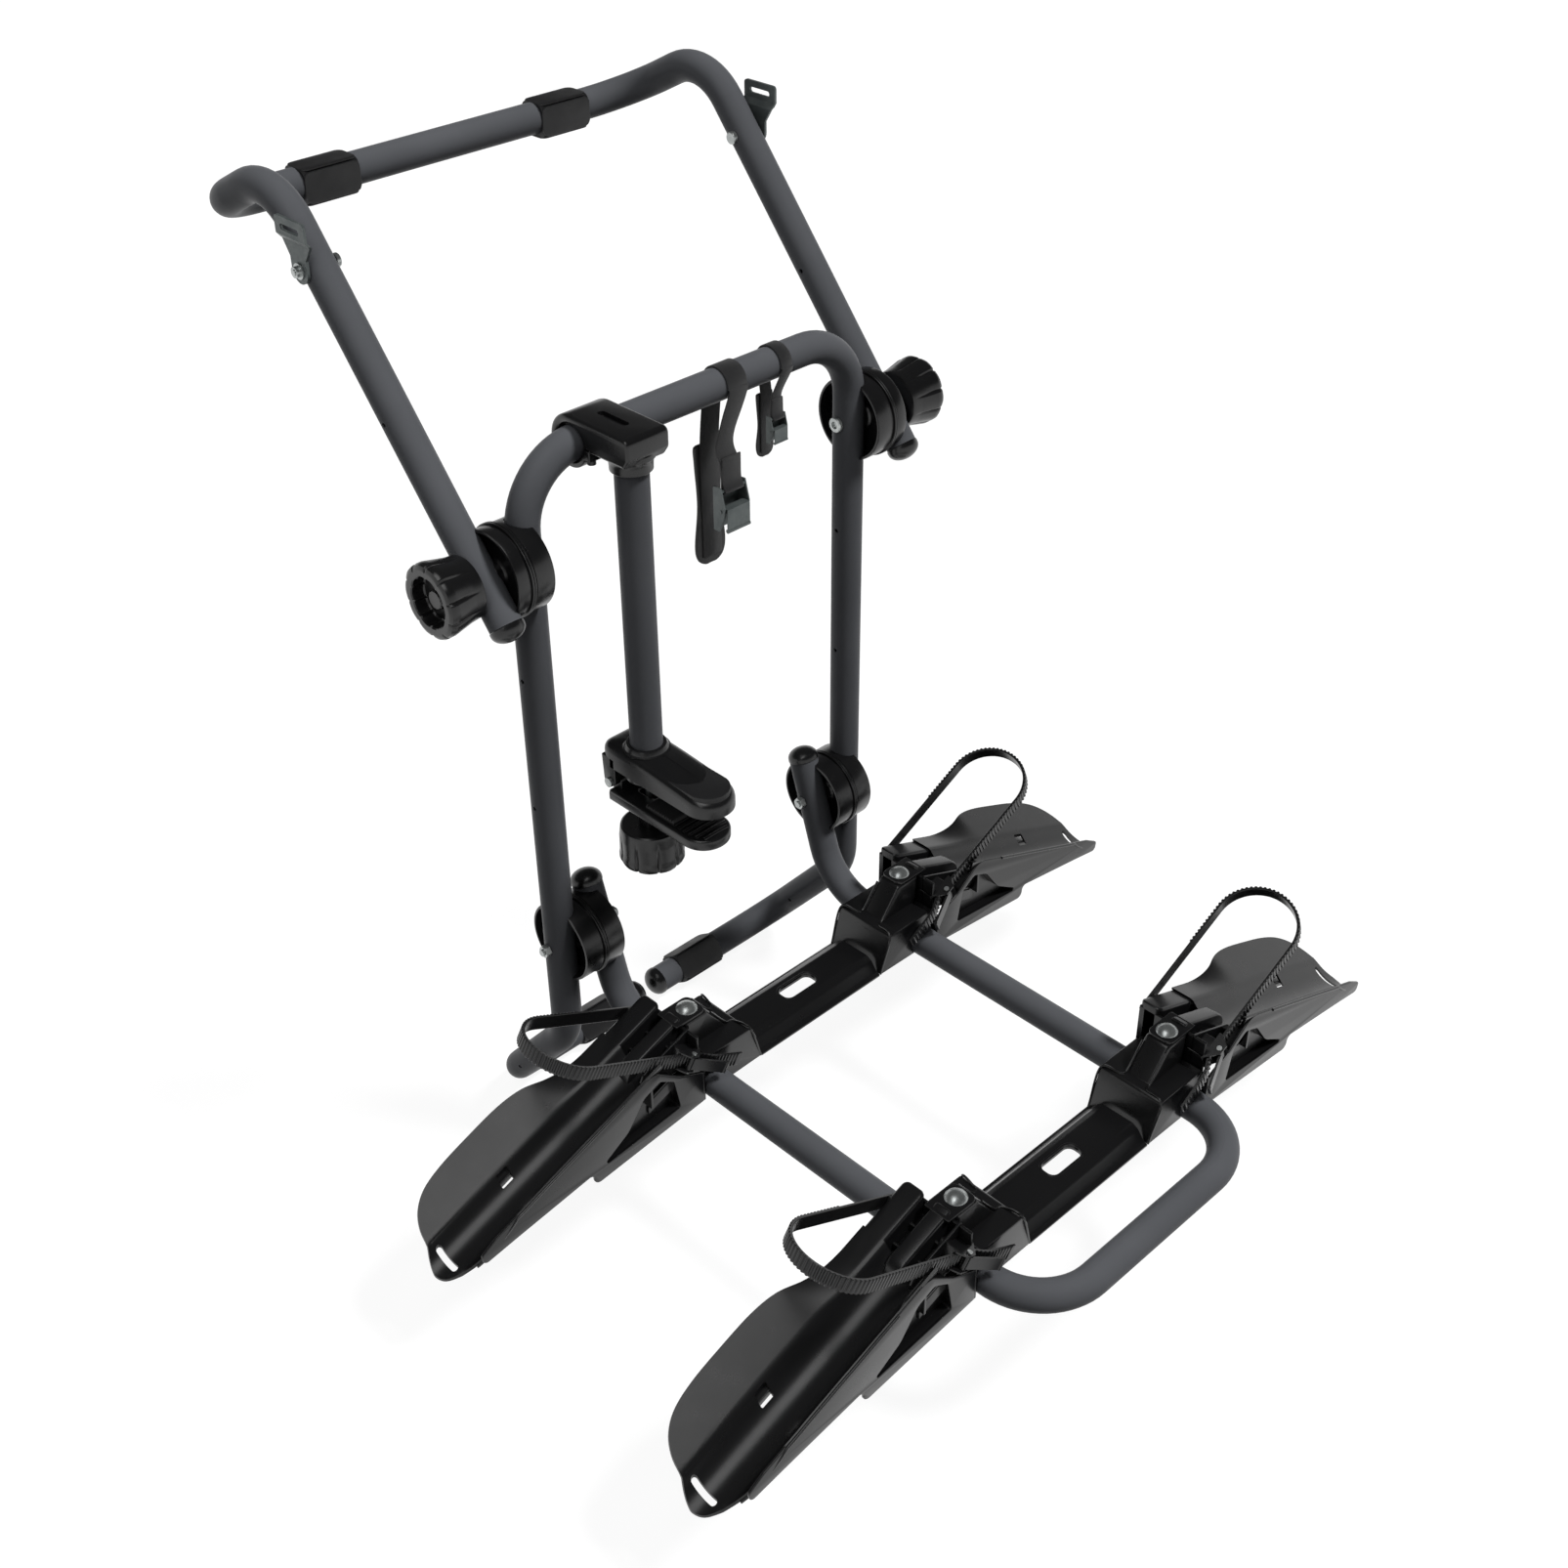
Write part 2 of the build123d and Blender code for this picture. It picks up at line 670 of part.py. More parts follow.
def strap_plane():
    # Plane of the wheel strap's loop: x runs up and outward, y from the near limb to the far one
    a = math.radians(strap_tilt)
    u = Vector(math.cos(a), 0, math.sin(a))
    across = Vector(*strap_across)
    v = (across - u * across.dot(u)).normalized()
    return Plane(origin=strap_foot, x_dir=u, z_dir=u.cross(v))


def strap_seats():
    # Blocks on the scoop that the ratchet and the strap's far end are fastened to
    half = strap_width / 2
    near = block(ratchet_u - 18, ratchet_u + 8, 3.8, 24, -half, half)
    far_v = 2 * strap_loop_r - strap_t / 2
    far = block(-2, 20, far_v - 5, far_v - 0.1, -half, half)
    return strap_plane() * near + strap_plane() * far


def rivet_hole():
    # Blind hole under the strap's far end
    return strap_plane() * (Pos(9, 2 * strap_loop_r - 4, 0) * Rot(90, 0, 0) * Cylinder(rivet_r + fit, 8))


def strap_clearance():
    # Room round strap, ratchet and lever where they pass the scoop
    half = strap_width / 2 + 0.8
    room = block(-60, strap_reach, -4, 2.2, -half, half)
    room += block(ratchet_u - 21, ratchet_u + 17, -14, 3.75, -half - 3, half + 3)
    room += block(ratchet_u - 48, ratchet_u, -30, -5, -half - 1, half + 1)
    return strap_plane() * room


def make_scoop(side, y):
    # Wheel scoop with a bolting tab that lies on top of the clamp
    tab = block(rail_half - 15, scoop_start + 1, -spine_half, spine_half, spine_z, spine_z + 4.0)
    tab = fillet(tab.edges().filter_by(Axis.Z).group_by(Axis.X)[0], 8.0)
    tab -= rod_z(0, 120, bolt_r + fit, rail_half, 0)
    shape = scoop_skin() + scoop_box() + scoop_flank() - strap_clearance() + strap_seats() + tab - rivet_hole()
    placed = Pos(0, y, rail_z) * shape
    return placed if side > 0 else mirrored(placed)


def placed_strap_piece(shape, side, y):
    piece = Pos(0, y, rail_z) * (strap_plane() * shape)
    return piece if side > 0 else mirrored(piece)


def make_wheel_strap():
    # Toothed strap in its own plane: tail, near limb, round end and far limb
    half = strap_t / 2
    far_v = 2 * strap_loop_r
    centre = Polyline((-strap_tail, -10.0), (-26.0, -8.0), (-6.0, 0.0), (strap_reach, 0.0))
    centre += ThreePointArc((strap_reach, 0), (strap_reach + strap_loop_r, strap_loop_r), (strap_reach, far_v))
    centre += Line((strap_reach, far_v), (-2, far_v))
    band = trace(centre, strap_t) + Pos(-26, -8) * Circle(half) + Pos(-6, 0) * Circle(half)
    teeth = [Pos(20 + tooth_pitch * i, -half - tooth_height / 2) for i in range(26)]
    tooth = Rectangle(tooth_pitch * 0.55, tooth_height + 0.4)
    band += [place * tooth for place in teeth]
    turns = [math.radians(-90 + 7.0 * i) for i in range(1, 26)]
    reach = strap_loop_r + half + tooth_height / 2
    band += [
        Pos(strap_reach + reach * math.cos(a), strap_loop_r + reach * math.sin(a)) * Rot(0, 0, math.degrees(a) + 90) * tooth
        for a in turns]
    strap = extrude(band, strap_width / 2, both=True)
    return strap - Pos(9, far_v, 0) * Rot(90, 0, 0) * Cylinder(rivet_r + fit, 30)


def make_strap_rivet():
    face_v = 2 * strap_loop_r + strap_t / 2
    shank = Pos(9, face_v - 4, 0) * Rot(90, 0, 0) * Cylinder(rivet_r, 8)
    head = Pos(9, face_v + 1.0, 0) * Rot(90, 0, 0) * Cylinder(rivet_r + 2.2, 2.0)
    return shank + fillet(head.edges().group_by(Axis.Y)[-1], 0.9)


def make_ratchet_body():
    # Folded channel round the strap with ears for the lever pin
    half = strap_width / 2 + 0.8
    ear = 1.6
    base = block(ratchet_u - 20, ratchet_u + 16, 1.7, 3.7, -half, half)
    side_line = Polyline(
        (ratchet_u - 20, 3.7), (ratchet_u + 16, 3.7), (ratchet_u + 15, -1), (ratchet_u + 7, ratchet_v - 4.5),
        (ratchet_u - 5, ratchet_v - 4.5), (ratchet_u - 14, -2), close=True)
    cheek = extrude(make_face(side_line), ear)
    body = base + Pos(0, 0, half) * cheek + Pos(0, 0, -half - ear) * cheek
    return body - Pos(ratchet_u, ratchet_v, 0) * Cylinder(1.8, 60)


def make_ratchet_pin():
    half = strap_width / 2 + 0.8 + 1.6
    pin = Cylinder(1.8, 2 * half + 1.0)
    head = Pos(0, 0, half + 1.2) * Cylinder(3.0, 1.6) + Pos(0, 0, -half - 1.2) * Cylinder(3.0, 1.6)
    return Pos(ratchet_u, ratchet_v, 0) * (pin + head)


def make_ratchet_lever():
    # Toothed hub on the pin with a flat handle hanging off it
    half = strap_width / 2 + 0.4
    hub = Circle(3.2)
    hub += [Rot(0, 0, 45 * i) * Pos(3.1, 0) * Rectangle(1.2, 1.4) for i in range(8)]
    handle = trace(Polyline((0, -2.0), (-10, -5.0), (-42, -15.0)), 2.6) + Pos(-42, -15) * Circle(2.2)
    lever = extrude(hub, half, both=True) + extrude(handle, half - 1.5, both=True)
    return Pos(ratchet_u, ratchet_v, 0) * (lever - Cylinder(1.8 + fit, 60))


# Arm that clamps a bicycle frame


def make_arm_liner():
    # Split plastic bush between the crossbar and the arm's head
    ring = Circle(liner_r) - Circle(tube_r + fit) - Pos(0, -tube_r) * Rectangle(4, 12)
    bush = extrude(ring, liner_half, both=True)
    return Plane(origin=(arm_x, 0, main_top_z), x_dir=(0, 1, 0), z_dir=(1, 0, 0)) * bush


def arm_head_outline():
    # Side view: half round over the crossbar, flat top, short bevelled nose
    low = main_top_z + gap / 2
    top = main_top_z + arm_head_r
    line = CenterArc((0, main_top_z), arm_head_r, 0.3, 89.7)
    line += Polyline(
        (0, top), (head_nose_y + 3, top), (head_nose_y, top - 4), (head_nose_y, nose_z), (-arm_head_r, nose_z),
        (-arm_head_r, low), line @ 0)
    return make_face(line)


def arm_bolt_places():
    return [(arm_x + dx, dy) for dx in (-20.0, 20.0) for dy in (-clamp_bolt_y, clamp_bolt_y)]


def make_arm_head():
    # Upper half of the head: saddle on the crossbar and socket for the arm tube
    top = main_top_z + arm_head_r
    body = extrude(Plane.YZ * arm_head_outline(), head_width / 2, both=True)
    body = fillet(body.edges().filter_by(Axis.Z).group_by(Axis.Y)[0], 6.0)
    body = Pos(arm_x, 0, 0) * body
    body += rod_z(collar_z, nose_z + 5, collar_r, arm_x, arm_y)
    body -= Pos(arm_x, -36, top - 3) * extrude(Rot(0, 0, 90) * SlotOverall(42, 8), 10)
    body -= rod_x(arm_x - 60, arm_x + 60, liner_r + fit, 0, main_top_z)
    body -= rod_z(collar_z - 5, top - 5, tube_r + fit, arm_x, arm_y)
    for x, y in arm_bolt_places():
        body -= rod_z(main_top_z - 30, main_top_z + 14, 2.5 + fit, x, y)
    return body


def make_arm_clamp():
    # Lower half of the head: a flange on each side of a round belly
    half = head_width / 2
    split = main_top_z - gap / 2
    flange = block(-half, half, -29, 29, main_top_z - 11, split)
    belly = rod_x(-half, half, 25.0, 0, main_top_z) & block(-half, half, -40, 40, main_top_z - 40, split)
    body = Pos(arm_x, 0, 0) * (flange + belly)
    body -= rod_x(arm_x - 60, arm_x + 60, liner_r + fit, 0, main_top_z)
    for x, y in arm_bolt_places():
        body -= rod_z(main_top_z - 40, main_top_z + 5, 2.5 + fit, x, y)
        body -= rod_z(main_top_z - 40, main_top_z - 11, 4.8, x, y)
    return body


def make_arm_bolts():
    bolts = []
    for x, y in arm_bolt_places():
        shank = rod_z(main_top_z - 12, main_top_z + 13, 2.5, x, y)
        head = rod_z(main_top_z - 16, main_top_z - 11, 4.5, x, y)
        socket = Pos(x, y, main_top_z - 16.5) * extrude(RegularPolygon(2.4, 6), 3.0)
        bolts.append(shank + head - socket)
    return bolts


def make_arm_tube():
    tube = rod_z(arm_bottom_z, main_top_z + arm_head_r - 6, tube_r, arm_x, arm_y)
    return tube - rod_z(arm_bottom_z - 5, main_top_z + 60, tube_r - tube_wall, arm_x, arm_y)


def make_arm_plug():
    # Plug in the tube's lower end; the jaw's stud turns in its hole
    r = tube_r - tube_wall
    plug = rod_z(arm_bottom_z, arm_bottom_z + 20, r, arm_x, arm_y)
    return plug - rod_z(arm_bottom_z - 5, arm_bottom_z + 30, bolt_r + fit, arm_x, arm_y)


def make_jaw_stud():
    # Threaded stud with its hexagon head on top of the plug
    seat = arm_bottom_z + 20 + gap
    shank = rod_z(jaw_knob_top - 40, seat + 1, bolt_r, arm_x, arm_y)
    head = Pos(arm_x, arm_y, seat) * extrude(RegularPolygon(6.5 / math.cos(math.pi / 6), 6), 5.5)
    return shank + head


def jaw_outline(back, tip, width):
    # Seen from above: square-shouldered back with rounded corners, half-round tip
    half = width / 2
    face = Pos(0, (back + tip + half) / 2) * Rectangle(width, back - tip - half)
    face = fillet(face.vertices().group_by(Axis.Y)[-1], 12.0)
    return face + Pos(0, tip + half) * Circle(half)


def make_jaw_upper():
    # Hollow shell with a socket round the tube, a floor for the stud and two hinge cheeks
    full = jaw_outline(jaw_back_y, jaw_tip_y, jaw_width)
    hollow = jaw_outline(jaw_back_y - 4, jaw_tip_y + jaw_wall, jaw_width - 2 * jaw_wall)
    shell = Pos(arm_x, 0, jaw_skirt_z) * extrude(full, jaw_top_z - jaw_skirt_z)
    shell = fillet(shell.edges().group_by(Axis.Z)[-1], 5.0)
    shell -= Pos(arm_x, 0, jaw_skirt_z - 1) * extrude(hollow, jaw_top_z - jaw_skirt_z + 1 - jaw_wall)
    shell += rod_z(arm_bottom_z - 6, jaw_top_z + 1, 24.8, arm_x, arm_y)
    shell += rod_z(jaw_top_z, jaw_top_z + 5, 22.5, arm_x, arm_y)
    rib = block(-2, 2, arm_y + 18, jaw_back_y - 2, jaw_skirt_z + 2, jaw_top_z - 2)
    shell += Pos(arm_x - 12, 0, 0) * rib + Pos(arm_x + 12, 0, 0) * rib
    half = jaw_width / 2
    for side in (1, -1):
        x0 = arm_x + side * (half - 4.5) - 4.5
        cheek = block(x0, x0 + 9, jaw_pivot_y - 9, jaw_back_y - 3, jaw_pivot_z, jaw_skirt_z + 12)
        cheek += rod_x(x0, x0 + 9, 9.0, jaw_pivot_y, jaw_pivot_z)
        shell += cheek
    shell -= rod_x(arm_x - 50, arm_x + 50, 3.0, jaw_pivot_y, jaw_pivot_z)
    shell -= rod_z(arm_bottom_z - gap, jaw_top_z + 10, tube_r + fit, arm_x, arm_y)
    shell -= rod_z(arm_bottom_z - 20, arm_bottom_z + 5, bolt_r + fit, arm_x, arm_y)
    return shell


def make_jaw_pad_upper():
    # Rubber lining under the shell, hollowed for a round tube
    front = arm_y - 27.0
    depth = jaw_top_z - jaw_skirt_z - jaw_wall
    outline = jaw_outline(jaw_back_y, jaw_tip_y + jaw_wall + 0.2, jaw_width - 2 * jaw_wall - 0.4)
    pad = extrude(outline, depth) & block(-40, 40, jaw_tip_y - 5, front, -1, depth + 1)
    pad -= rod_x(-50, 50, 34.0, (front + jaw_tip_y) / 2, -28.0)
    return Pos(arm_x, 0, jaw_skirt_z) * pad


def make_jaw_lower():
    # Ribbed tongue hinged at the back, with a boss over the knob and a long hole for the stud
    depth = lower_top_z - lower_bottom_z
    tongue = extrude(jaw_outline(jaw_pivot_y + 5, lower_tip_y, jaw_width), depth)
    tongue = fillet(tongue.edges().group_by(Axis.Z)[0], 4.0)
    body = Pos(arm_x, 0, lower_bottom_z) * tongue
    inside = jaw_width / 2 - 9 - gap
    body += block(arm_x - inside, arm_x + inside, jaw_pivot_y - 8, jaw_pivot_y + 5, lower_bottom_z + 2, jaw_pivot_z)
    body += rod_x(arm_x - inside, arm_x + inside, 8.0, jaw_pivot_y, jaw_pivot_z)
    body += rod_x(arm_x - rocker_r, arm_x + rocker_r, rocker_r, arm_y, rocker_z) & block(
        arm_x - 20, arm_x + 20, arm_y - 20, arm_y + 20, 0, lower_top_z - 2)
    for i in range(5):
        body += Pos(arm_x, lower_tip_y + 14 + 8 * i, lower_top_z) * Rot(0, 90, 0) * Cylinder(2.0, 34 + 2.5 * i)
    body -= rod_x(arm_x - 50, arm_x + 50, 3.0 + fit, jaw_pivot_y, jaw_pivot_z)
    body -= Pos(arm_x, arm_y, rocker_z - 40) * extrude(Rot(0, 0, 90) * SlotOverall(25, 2 * bolt_r + 2), 120)
    return body


def make_jaw_pad_lower():
    # Serrated rubber strip between the stud and the ribs
    back, front, half = arm_y - 20.0, lower_tip_y + 50.0, 22.0
    count = 12
    step = (back - front) / count
    pts = [(back, 0), (front, 0)]
    for i in range(count):
        pts += [(front + step * i, 3.0), (front + step * (i + 0.5), 6.0)]
    pts += [(back, 3.0)]
    strip = extrude(Plane.YZ * make_face(Polyline(*pts, close=True)), half, both=True)
    return Pos(arm_x, 0, lower_top_z) * strip


def make_jaw_pin():
    half = jaw_width / 2
    pin = rod_x(arm_x - half - 1, arm_x + half + 1, 3.0, jaw_pivot_y, jaw_pivot_z)
    ends = rod_x(arm_x - half - 2.5, arm_x - half, 5.5, jaw_pivot_y, jaw_pivot_z)
    ends += rod_x(arm_x + half, arm_x + half + 2.5, 5.5, jaw_pivot_y, jaw_pivot_z)
    return pin + ends


def make_jaw_washer():
    # Thrust bush between the knob and the rocker under the lower jaw
    top = rocker_z - rocker_r - gap
    ring = rod_z(jaw_knob_top + gap, top, 13.0, arm_x, arm_y)
    return ring - rod_z(jaw_knob_top - 5, top + 5, bolt_r + fit, arm_x, arm_y)


def make_jaw_knob():
    knob = make_knob_body(jaw_knob_length, jaw_knob_r, jaw_knob_r - 2.0, 8)
    knob -= Cylinder(bolt_r + fit, 3 * jaw_knob_length)
    return Plane(origin=(arm_x, arm_y, jaw_knob_top), z_dir=(0, 0, -1)) * knob


# Webbing loops on the crossbar, with cam buckles and backing pads.
# Each loop: scale, x over the bar, x at the waist, x at the buckle, x of the pad, drop to the buckle's bar,
# drop to the pad's top

loops = {
    "long": (1.0, 43.0, 23.0, 30.0, 30.0, 108.0, 68.0),
    "short": (0.6, 113.0, 98.0, 97.0, 112.0, 51.0, 38.0),
}


def ribbon(points, width, thickness):
    # Flat strip through points given as (x, y, z), its width always along X
    sections = []
    last = len(points) - 1
    for i, p in enumerate(points):
        a = points[max(i - 1, 0)]
        b = points[min(i + 1, last)]
        way = Vector(0, b[1] - a[1], b[2] - a[2])
        sections.append(Plane(origin=p, x_dir=(1, 0, 0), z_dir=way) * Rectangle(width, thickness))
    return loft(sections, ruled=True)


def buckle_bar(word):
    # Middle of the buckle's top bar, measured from the crossbar's axis: (y, z)
    scale = loops[word][0]
    return -tube_r - gap - web_t - 2.2 * scale, -loops[word][5]


def make_webbing(word):
    # One strip: tail on the pad, over the crossbar, down to the buckle bar and back up to the sewn end
    scale, over_x, waist_x, buckle_x, pad_x, drop, pad_drop = loops[word]
    r = tube_r + gap + web_t / 2
    bar_y, bar_z = buckle_bar(word)
    turn = bar_y + r
    pts = [(pad_x, web_pad_y - web_t / 2, bar_z - 94 * scale), (pad_x, web_pad_y - web_t / 2, -pad_drop + 3)]
    pts += [(over_x, r, -6 * scale)]
    for i in range(13):
        a = math.radians(15 * i)
        pts.append((over_x, r * math.cos(a), r * math.sin(a)))
    pts += [(over_x, -r, -8 * scale), (waist_x, -r, bar_z * 0.52), (buckle_x, -r, bar_z * 0.76), (buckle_x, -r, bar_z)]
    for i in range(1, 6):
        a = math.radians(36 * i)
        pts.append((buckle_x, bar_y - turn * math.cos(a), bar_z - abs(turn) * math.sin(a)))
    pts += [(buckle_x, -r - web_t - 0.2, bar_z + 9 * scale), (buckle_x, -r - web_t - 0.1, bar_z + 36 * scale)]
    return Pos(0, 0, main_top_z) * ribbon(pts, web_width * scale, web_t)


def buckle_pin(word):
    # Lever pin of the cam buckle and the height of the buckle's foot
    scale = loops[word][0]
    bar_y, bar_z = buckle_bar(word)
    return bar_y - 1.0 * scale, bar_z - 22 * scale, bar_z - 46 * scale


def make_cam_buckle(word):
    # Bent plate behind the lever with two cheeks and a bar for the fold
    scale = loops[word][0]
    bar_y, bar_z = buckle_bar(word)
    pin_y, pin_z, foot = buckle_pin(word)
    half = 16.5 * scale
    side = 1.6 * scale
    plate_y = bar_y + 9.0 * scale
    plate = block(-half, half, plate_y, plate_y + 1.5 * scale, foot, bar_z - 7 * scale)
    cheek_line = Polyline(
        (plate_y + 1.5 * scale, foot), (plate_y + 1.5 * scale, bar_z + 4 * scale), (bar_y - 1 * scale, bar_z + 5 * scale),
        (pin_y - 6 * scale, pin_z + 4 * scale), (pin_y - 5 * scale, pin_z - 6 * scale), (bar_y + 2 * scale, foot), close=True)
    cheek = extrude(Plane.YZ * make_face(cheek_line), side)
    buckle = plate + Pos(half, 0, 0) * cheek + Pos(-half - side, 0, 0) * cheek
    buckle += rod_x(-half - 0.5, half + 0.5, 1.9 * scale, bar_y, bar_z)
    buckle -= rod_x(-half - 10, half + 10, 1.8 * scale, pin_y, pin_z)
    return Pos(loops[word][3], 0, main_top_z) * buckle


def make_buckle_pin(word):
    pin_y, pin_z, foot = buckle_pin(word)
    half = 18.9 * loops[word][0]
    pin = rod_x(-half, half, 1.8 * loops[word][0], pin_y, pin_z)
    return Pos(loops[word][3], 0, main_top_z) * pin


def make_cam_lever(word):
    # Toothed cam on the pin with a flat handle and a rolled end
    size = loops[word][0]
    pin_y, pin_z, foot = buckle_pin(word)
    hub = Circle(4.6)
    corner = (-7.5, 3.4)
    section = hub + trace(Polyline((0, 3.4), corner, (-7.5, -20)), 1.6) + Pos(*corner) * Circle(0.8)
    section += Pos(-7.0, -21) * Circle(2.4)
    section += [Rot(0, 0, a) * Pos(4.6, 0) * Rectangle(0.9, 1.1) for a in (-50, -30, -10, 10)]
    section -= Circle(1.8 + fit / size)
    lever = extrude(Plane.YZ * section, 15.8, both=True)
    if size != 1:
        lever = scale(lever, by=size)
    return Pos(loops[word][3], pin_y, main_top_z + pin_z) * lever


def make_strap_pad(word):
    # Waisted rubber tongue behind the loop's tail
    scale = loops[word][0]
    bar_z = buckle_bar(word)[1]
    top = -loops[word][6]
    low = bar_z - 102 * scale
    half = 21.0 * scale
    right = [
        (half - 5 * scale, top), (half - 1.0 * scale, top - 6 * scale), (half - 5 * scale, (top + low) / 2),
        (half, low + 24 * scale), (half - 8 * scale, low + 3 * scale), (0, low)]
    curve = Spline(*right, tangents=((1, 0), (-1, 0)))
    left = mirror(curve, Plane.YZ)
    outline = make_face(curve + left + Line((half - 5 * scale, top), (-half + 5 * scale, top)))
    front = Plane(origin=(0, web_pad_y + 0.05, 0), x_dir=(1, 0, 0), z_dir=(0, -1, 0))
    pad = extrude(front * outline, -4.5 * scale)
    return Pos(loops[word][4], 0, main_top_z) * pad


def make_strap_nodes(places):
    strap = make_wheel_strap()
    body = make_ratchet_body()
    pin = make_ratchet_pin()
    rivet = make_strap_rivet()
    lever = make_ratchet_lever()
    for y, place in zip(tray_y, ("inner", "outer")):
        save(place + "_wheel_straps", placed_strap_piece(strap, 1, y), placed_strap_piece(strap, -1, y))
        for side, word in ((1, "right"), (-1, "left")):
            save(place + "_ratchet_lever_" + word, placed_strap_piece(lever, side, y))
    save("ratchet_bodies", *[placed_strap_piece(body, side, y) for side, y in places])
    save("strap_fasteners", *[placed_strap_piece(pin + rivet, side, y) for side, y in places])


def make_arm_nodes():
    save("arm_liner", make_arm_liner())
    save("arm_head", make_arm_head())
    save("arm_clamp", make_arm_clamp())
    save("arm_clamp_bolts", *make_arm_bolts())
    save("arm_tube", make_arm_tube())
    save("arm_plug", make_arm_plug())
    save("jaw_stud", make_jaw_stud())
    save("jaw_upper", make_jaw_upper())
    save("jaw_pad_upper", make_jaw_pad_upper())
    save("jaw_lower", make_jaw_lower())
    save("jaw_pad_lower", make_jaw_pad_lower())
    save("jaw_pin", make_jaw_pin())
    save("jaw_washer", make_jaw_washer())
    save("jaw_knob", make_jaw_knob())


def make_webbing_nodes():
    save("crossbar_webbing", *[make_webbing(word) for word in loops])
    save("strap_pads", *[make_strap_pad(word) for word in loops])
    save("cam_buckles", *[make_cam_buckle(word) for word in loops])
    save("cam_buckle_pins", *[make_buckle_pin(word) for word in loops])
    for word in loops:
        save("cam_lever_" + word, make_cam_lever(word))


def main():
    os.makedirs("parts", exist_ok=True)
    save("main_tube", make_main_tube())
    save("main_end_caps", *make_main_caps())
    save("bumper_pads", *make_bumper_pads())
    save("upper_pod_main", *make_upper_pod_main())
    save("lower_pod_main", *make_lower_pod_main())
    save("upper_pivot_bolts", *make_upper_bolts())
    save("lower_pivot_pins", *make_lower_bolts())
    save("lower_pivot_nuts", *make_lower_main_nuts())
    save("upper_tube", make_upper_tube())
    save("upper_end_caps", *make_upper_caps())
    save("roof_pads", *make_roof_pads())
    save("upper_pod_leg", *make_upper_pod_leg())
    save("plate_bolts", *make_plate_bolts())
    for side, word in ((1, "right"), (-1, "left")):
        save("strap_plate_" + word, make_strap_plate(side))
        save("side_knob_" + word, make_side_knob(side))
    save("tray_tube", make_tray_tube())
    save("stub_end_caps", *make_stub_caps())
    save("lower_pod_stub", *make_lower_pod_stub())
    save("stub_nuts", *make_lower_stub_nuts())
    for y, place in zip(tray_y, ("inner", "outer")):
        save(place + "_tray_bridge", make_bridge(y))
        save(place + "_tray_clamps", make_clamp(1, y), make_clamp(-1, y))
        for side, word in ((1, "right"), (-1, "left")):
            save(place + "_scoop_" + word, make_scoop(side, y))
    places = [(side, y) for y in tray_y for side in (1, -1)]
    save("tray_bolts", *[make_tray_bolt(side, y) for side, y in places])
    save("tray_nuts", *[make_tray_nut(side, y) for side, y in places])
    save("rail_straps", *[make_lower_clamp(side, y) for side, y in places])
    make_strap_nodes(places)
    make_arm_nodes()
    make_webbing_nodes()


main()
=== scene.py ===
import bmesh
import bpy
import json
import math
import numpy as np
from mathutils import Matrix, Vector


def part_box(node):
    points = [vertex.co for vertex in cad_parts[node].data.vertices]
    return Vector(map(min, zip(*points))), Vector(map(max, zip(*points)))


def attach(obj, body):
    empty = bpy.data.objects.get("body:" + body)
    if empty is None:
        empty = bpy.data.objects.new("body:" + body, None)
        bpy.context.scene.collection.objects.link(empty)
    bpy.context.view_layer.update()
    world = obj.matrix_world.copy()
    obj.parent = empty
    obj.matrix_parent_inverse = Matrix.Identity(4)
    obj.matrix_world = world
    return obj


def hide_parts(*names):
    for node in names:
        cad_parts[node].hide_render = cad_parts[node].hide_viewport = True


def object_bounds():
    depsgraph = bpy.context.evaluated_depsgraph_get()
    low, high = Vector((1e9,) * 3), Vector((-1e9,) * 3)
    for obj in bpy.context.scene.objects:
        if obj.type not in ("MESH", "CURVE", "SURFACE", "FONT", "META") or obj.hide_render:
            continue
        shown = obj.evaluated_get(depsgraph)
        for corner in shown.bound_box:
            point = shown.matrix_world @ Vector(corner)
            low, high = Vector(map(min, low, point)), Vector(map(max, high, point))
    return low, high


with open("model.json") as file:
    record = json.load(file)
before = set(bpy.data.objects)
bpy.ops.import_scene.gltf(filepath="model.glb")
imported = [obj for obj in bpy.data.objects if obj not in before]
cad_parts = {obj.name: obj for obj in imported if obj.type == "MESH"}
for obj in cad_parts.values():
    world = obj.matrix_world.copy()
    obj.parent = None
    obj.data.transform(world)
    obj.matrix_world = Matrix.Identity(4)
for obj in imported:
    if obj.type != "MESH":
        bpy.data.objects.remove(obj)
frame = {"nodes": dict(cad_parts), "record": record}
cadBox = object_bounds()
print("frame loaded", len(frame["nodes"]), "nodes")


# Small helpers for materials


def newMaterial(name, **sockets):
    # A named material with whole-surface values on the shader's own sockets
    material = bpy.data.materials.new(name)
    material.use_nodes = True
    shader = material.node_tree.nodes["Principled BSDF"]
    for socket, value in sockets.items():
        shader.inputs[socket.replace("_", " ")].default_value = value
    return material, shader


def node(material, kind, **settings):
    made = material.node_tree.nodes.new(kind)
    for key, value in settings.items():
        if key in made.inputs:
            made.inputs[key].default_value = value
        else:
            setattr(made, key, value)
    return made


def join(material, a, b):
    material.node_tree.links.new(a, b)


def noiseOn(material, coordinates, size, detail):
    # Noise whose grains are about size metres across
    noise = node(material, "ShaderNodeTexNoise", Scale=1.0 / size, Detail=detail, Roughness=0.5)
    join(material, coordinates, noise.inputs["Vector"])
    return noise.outputs["Fac"]


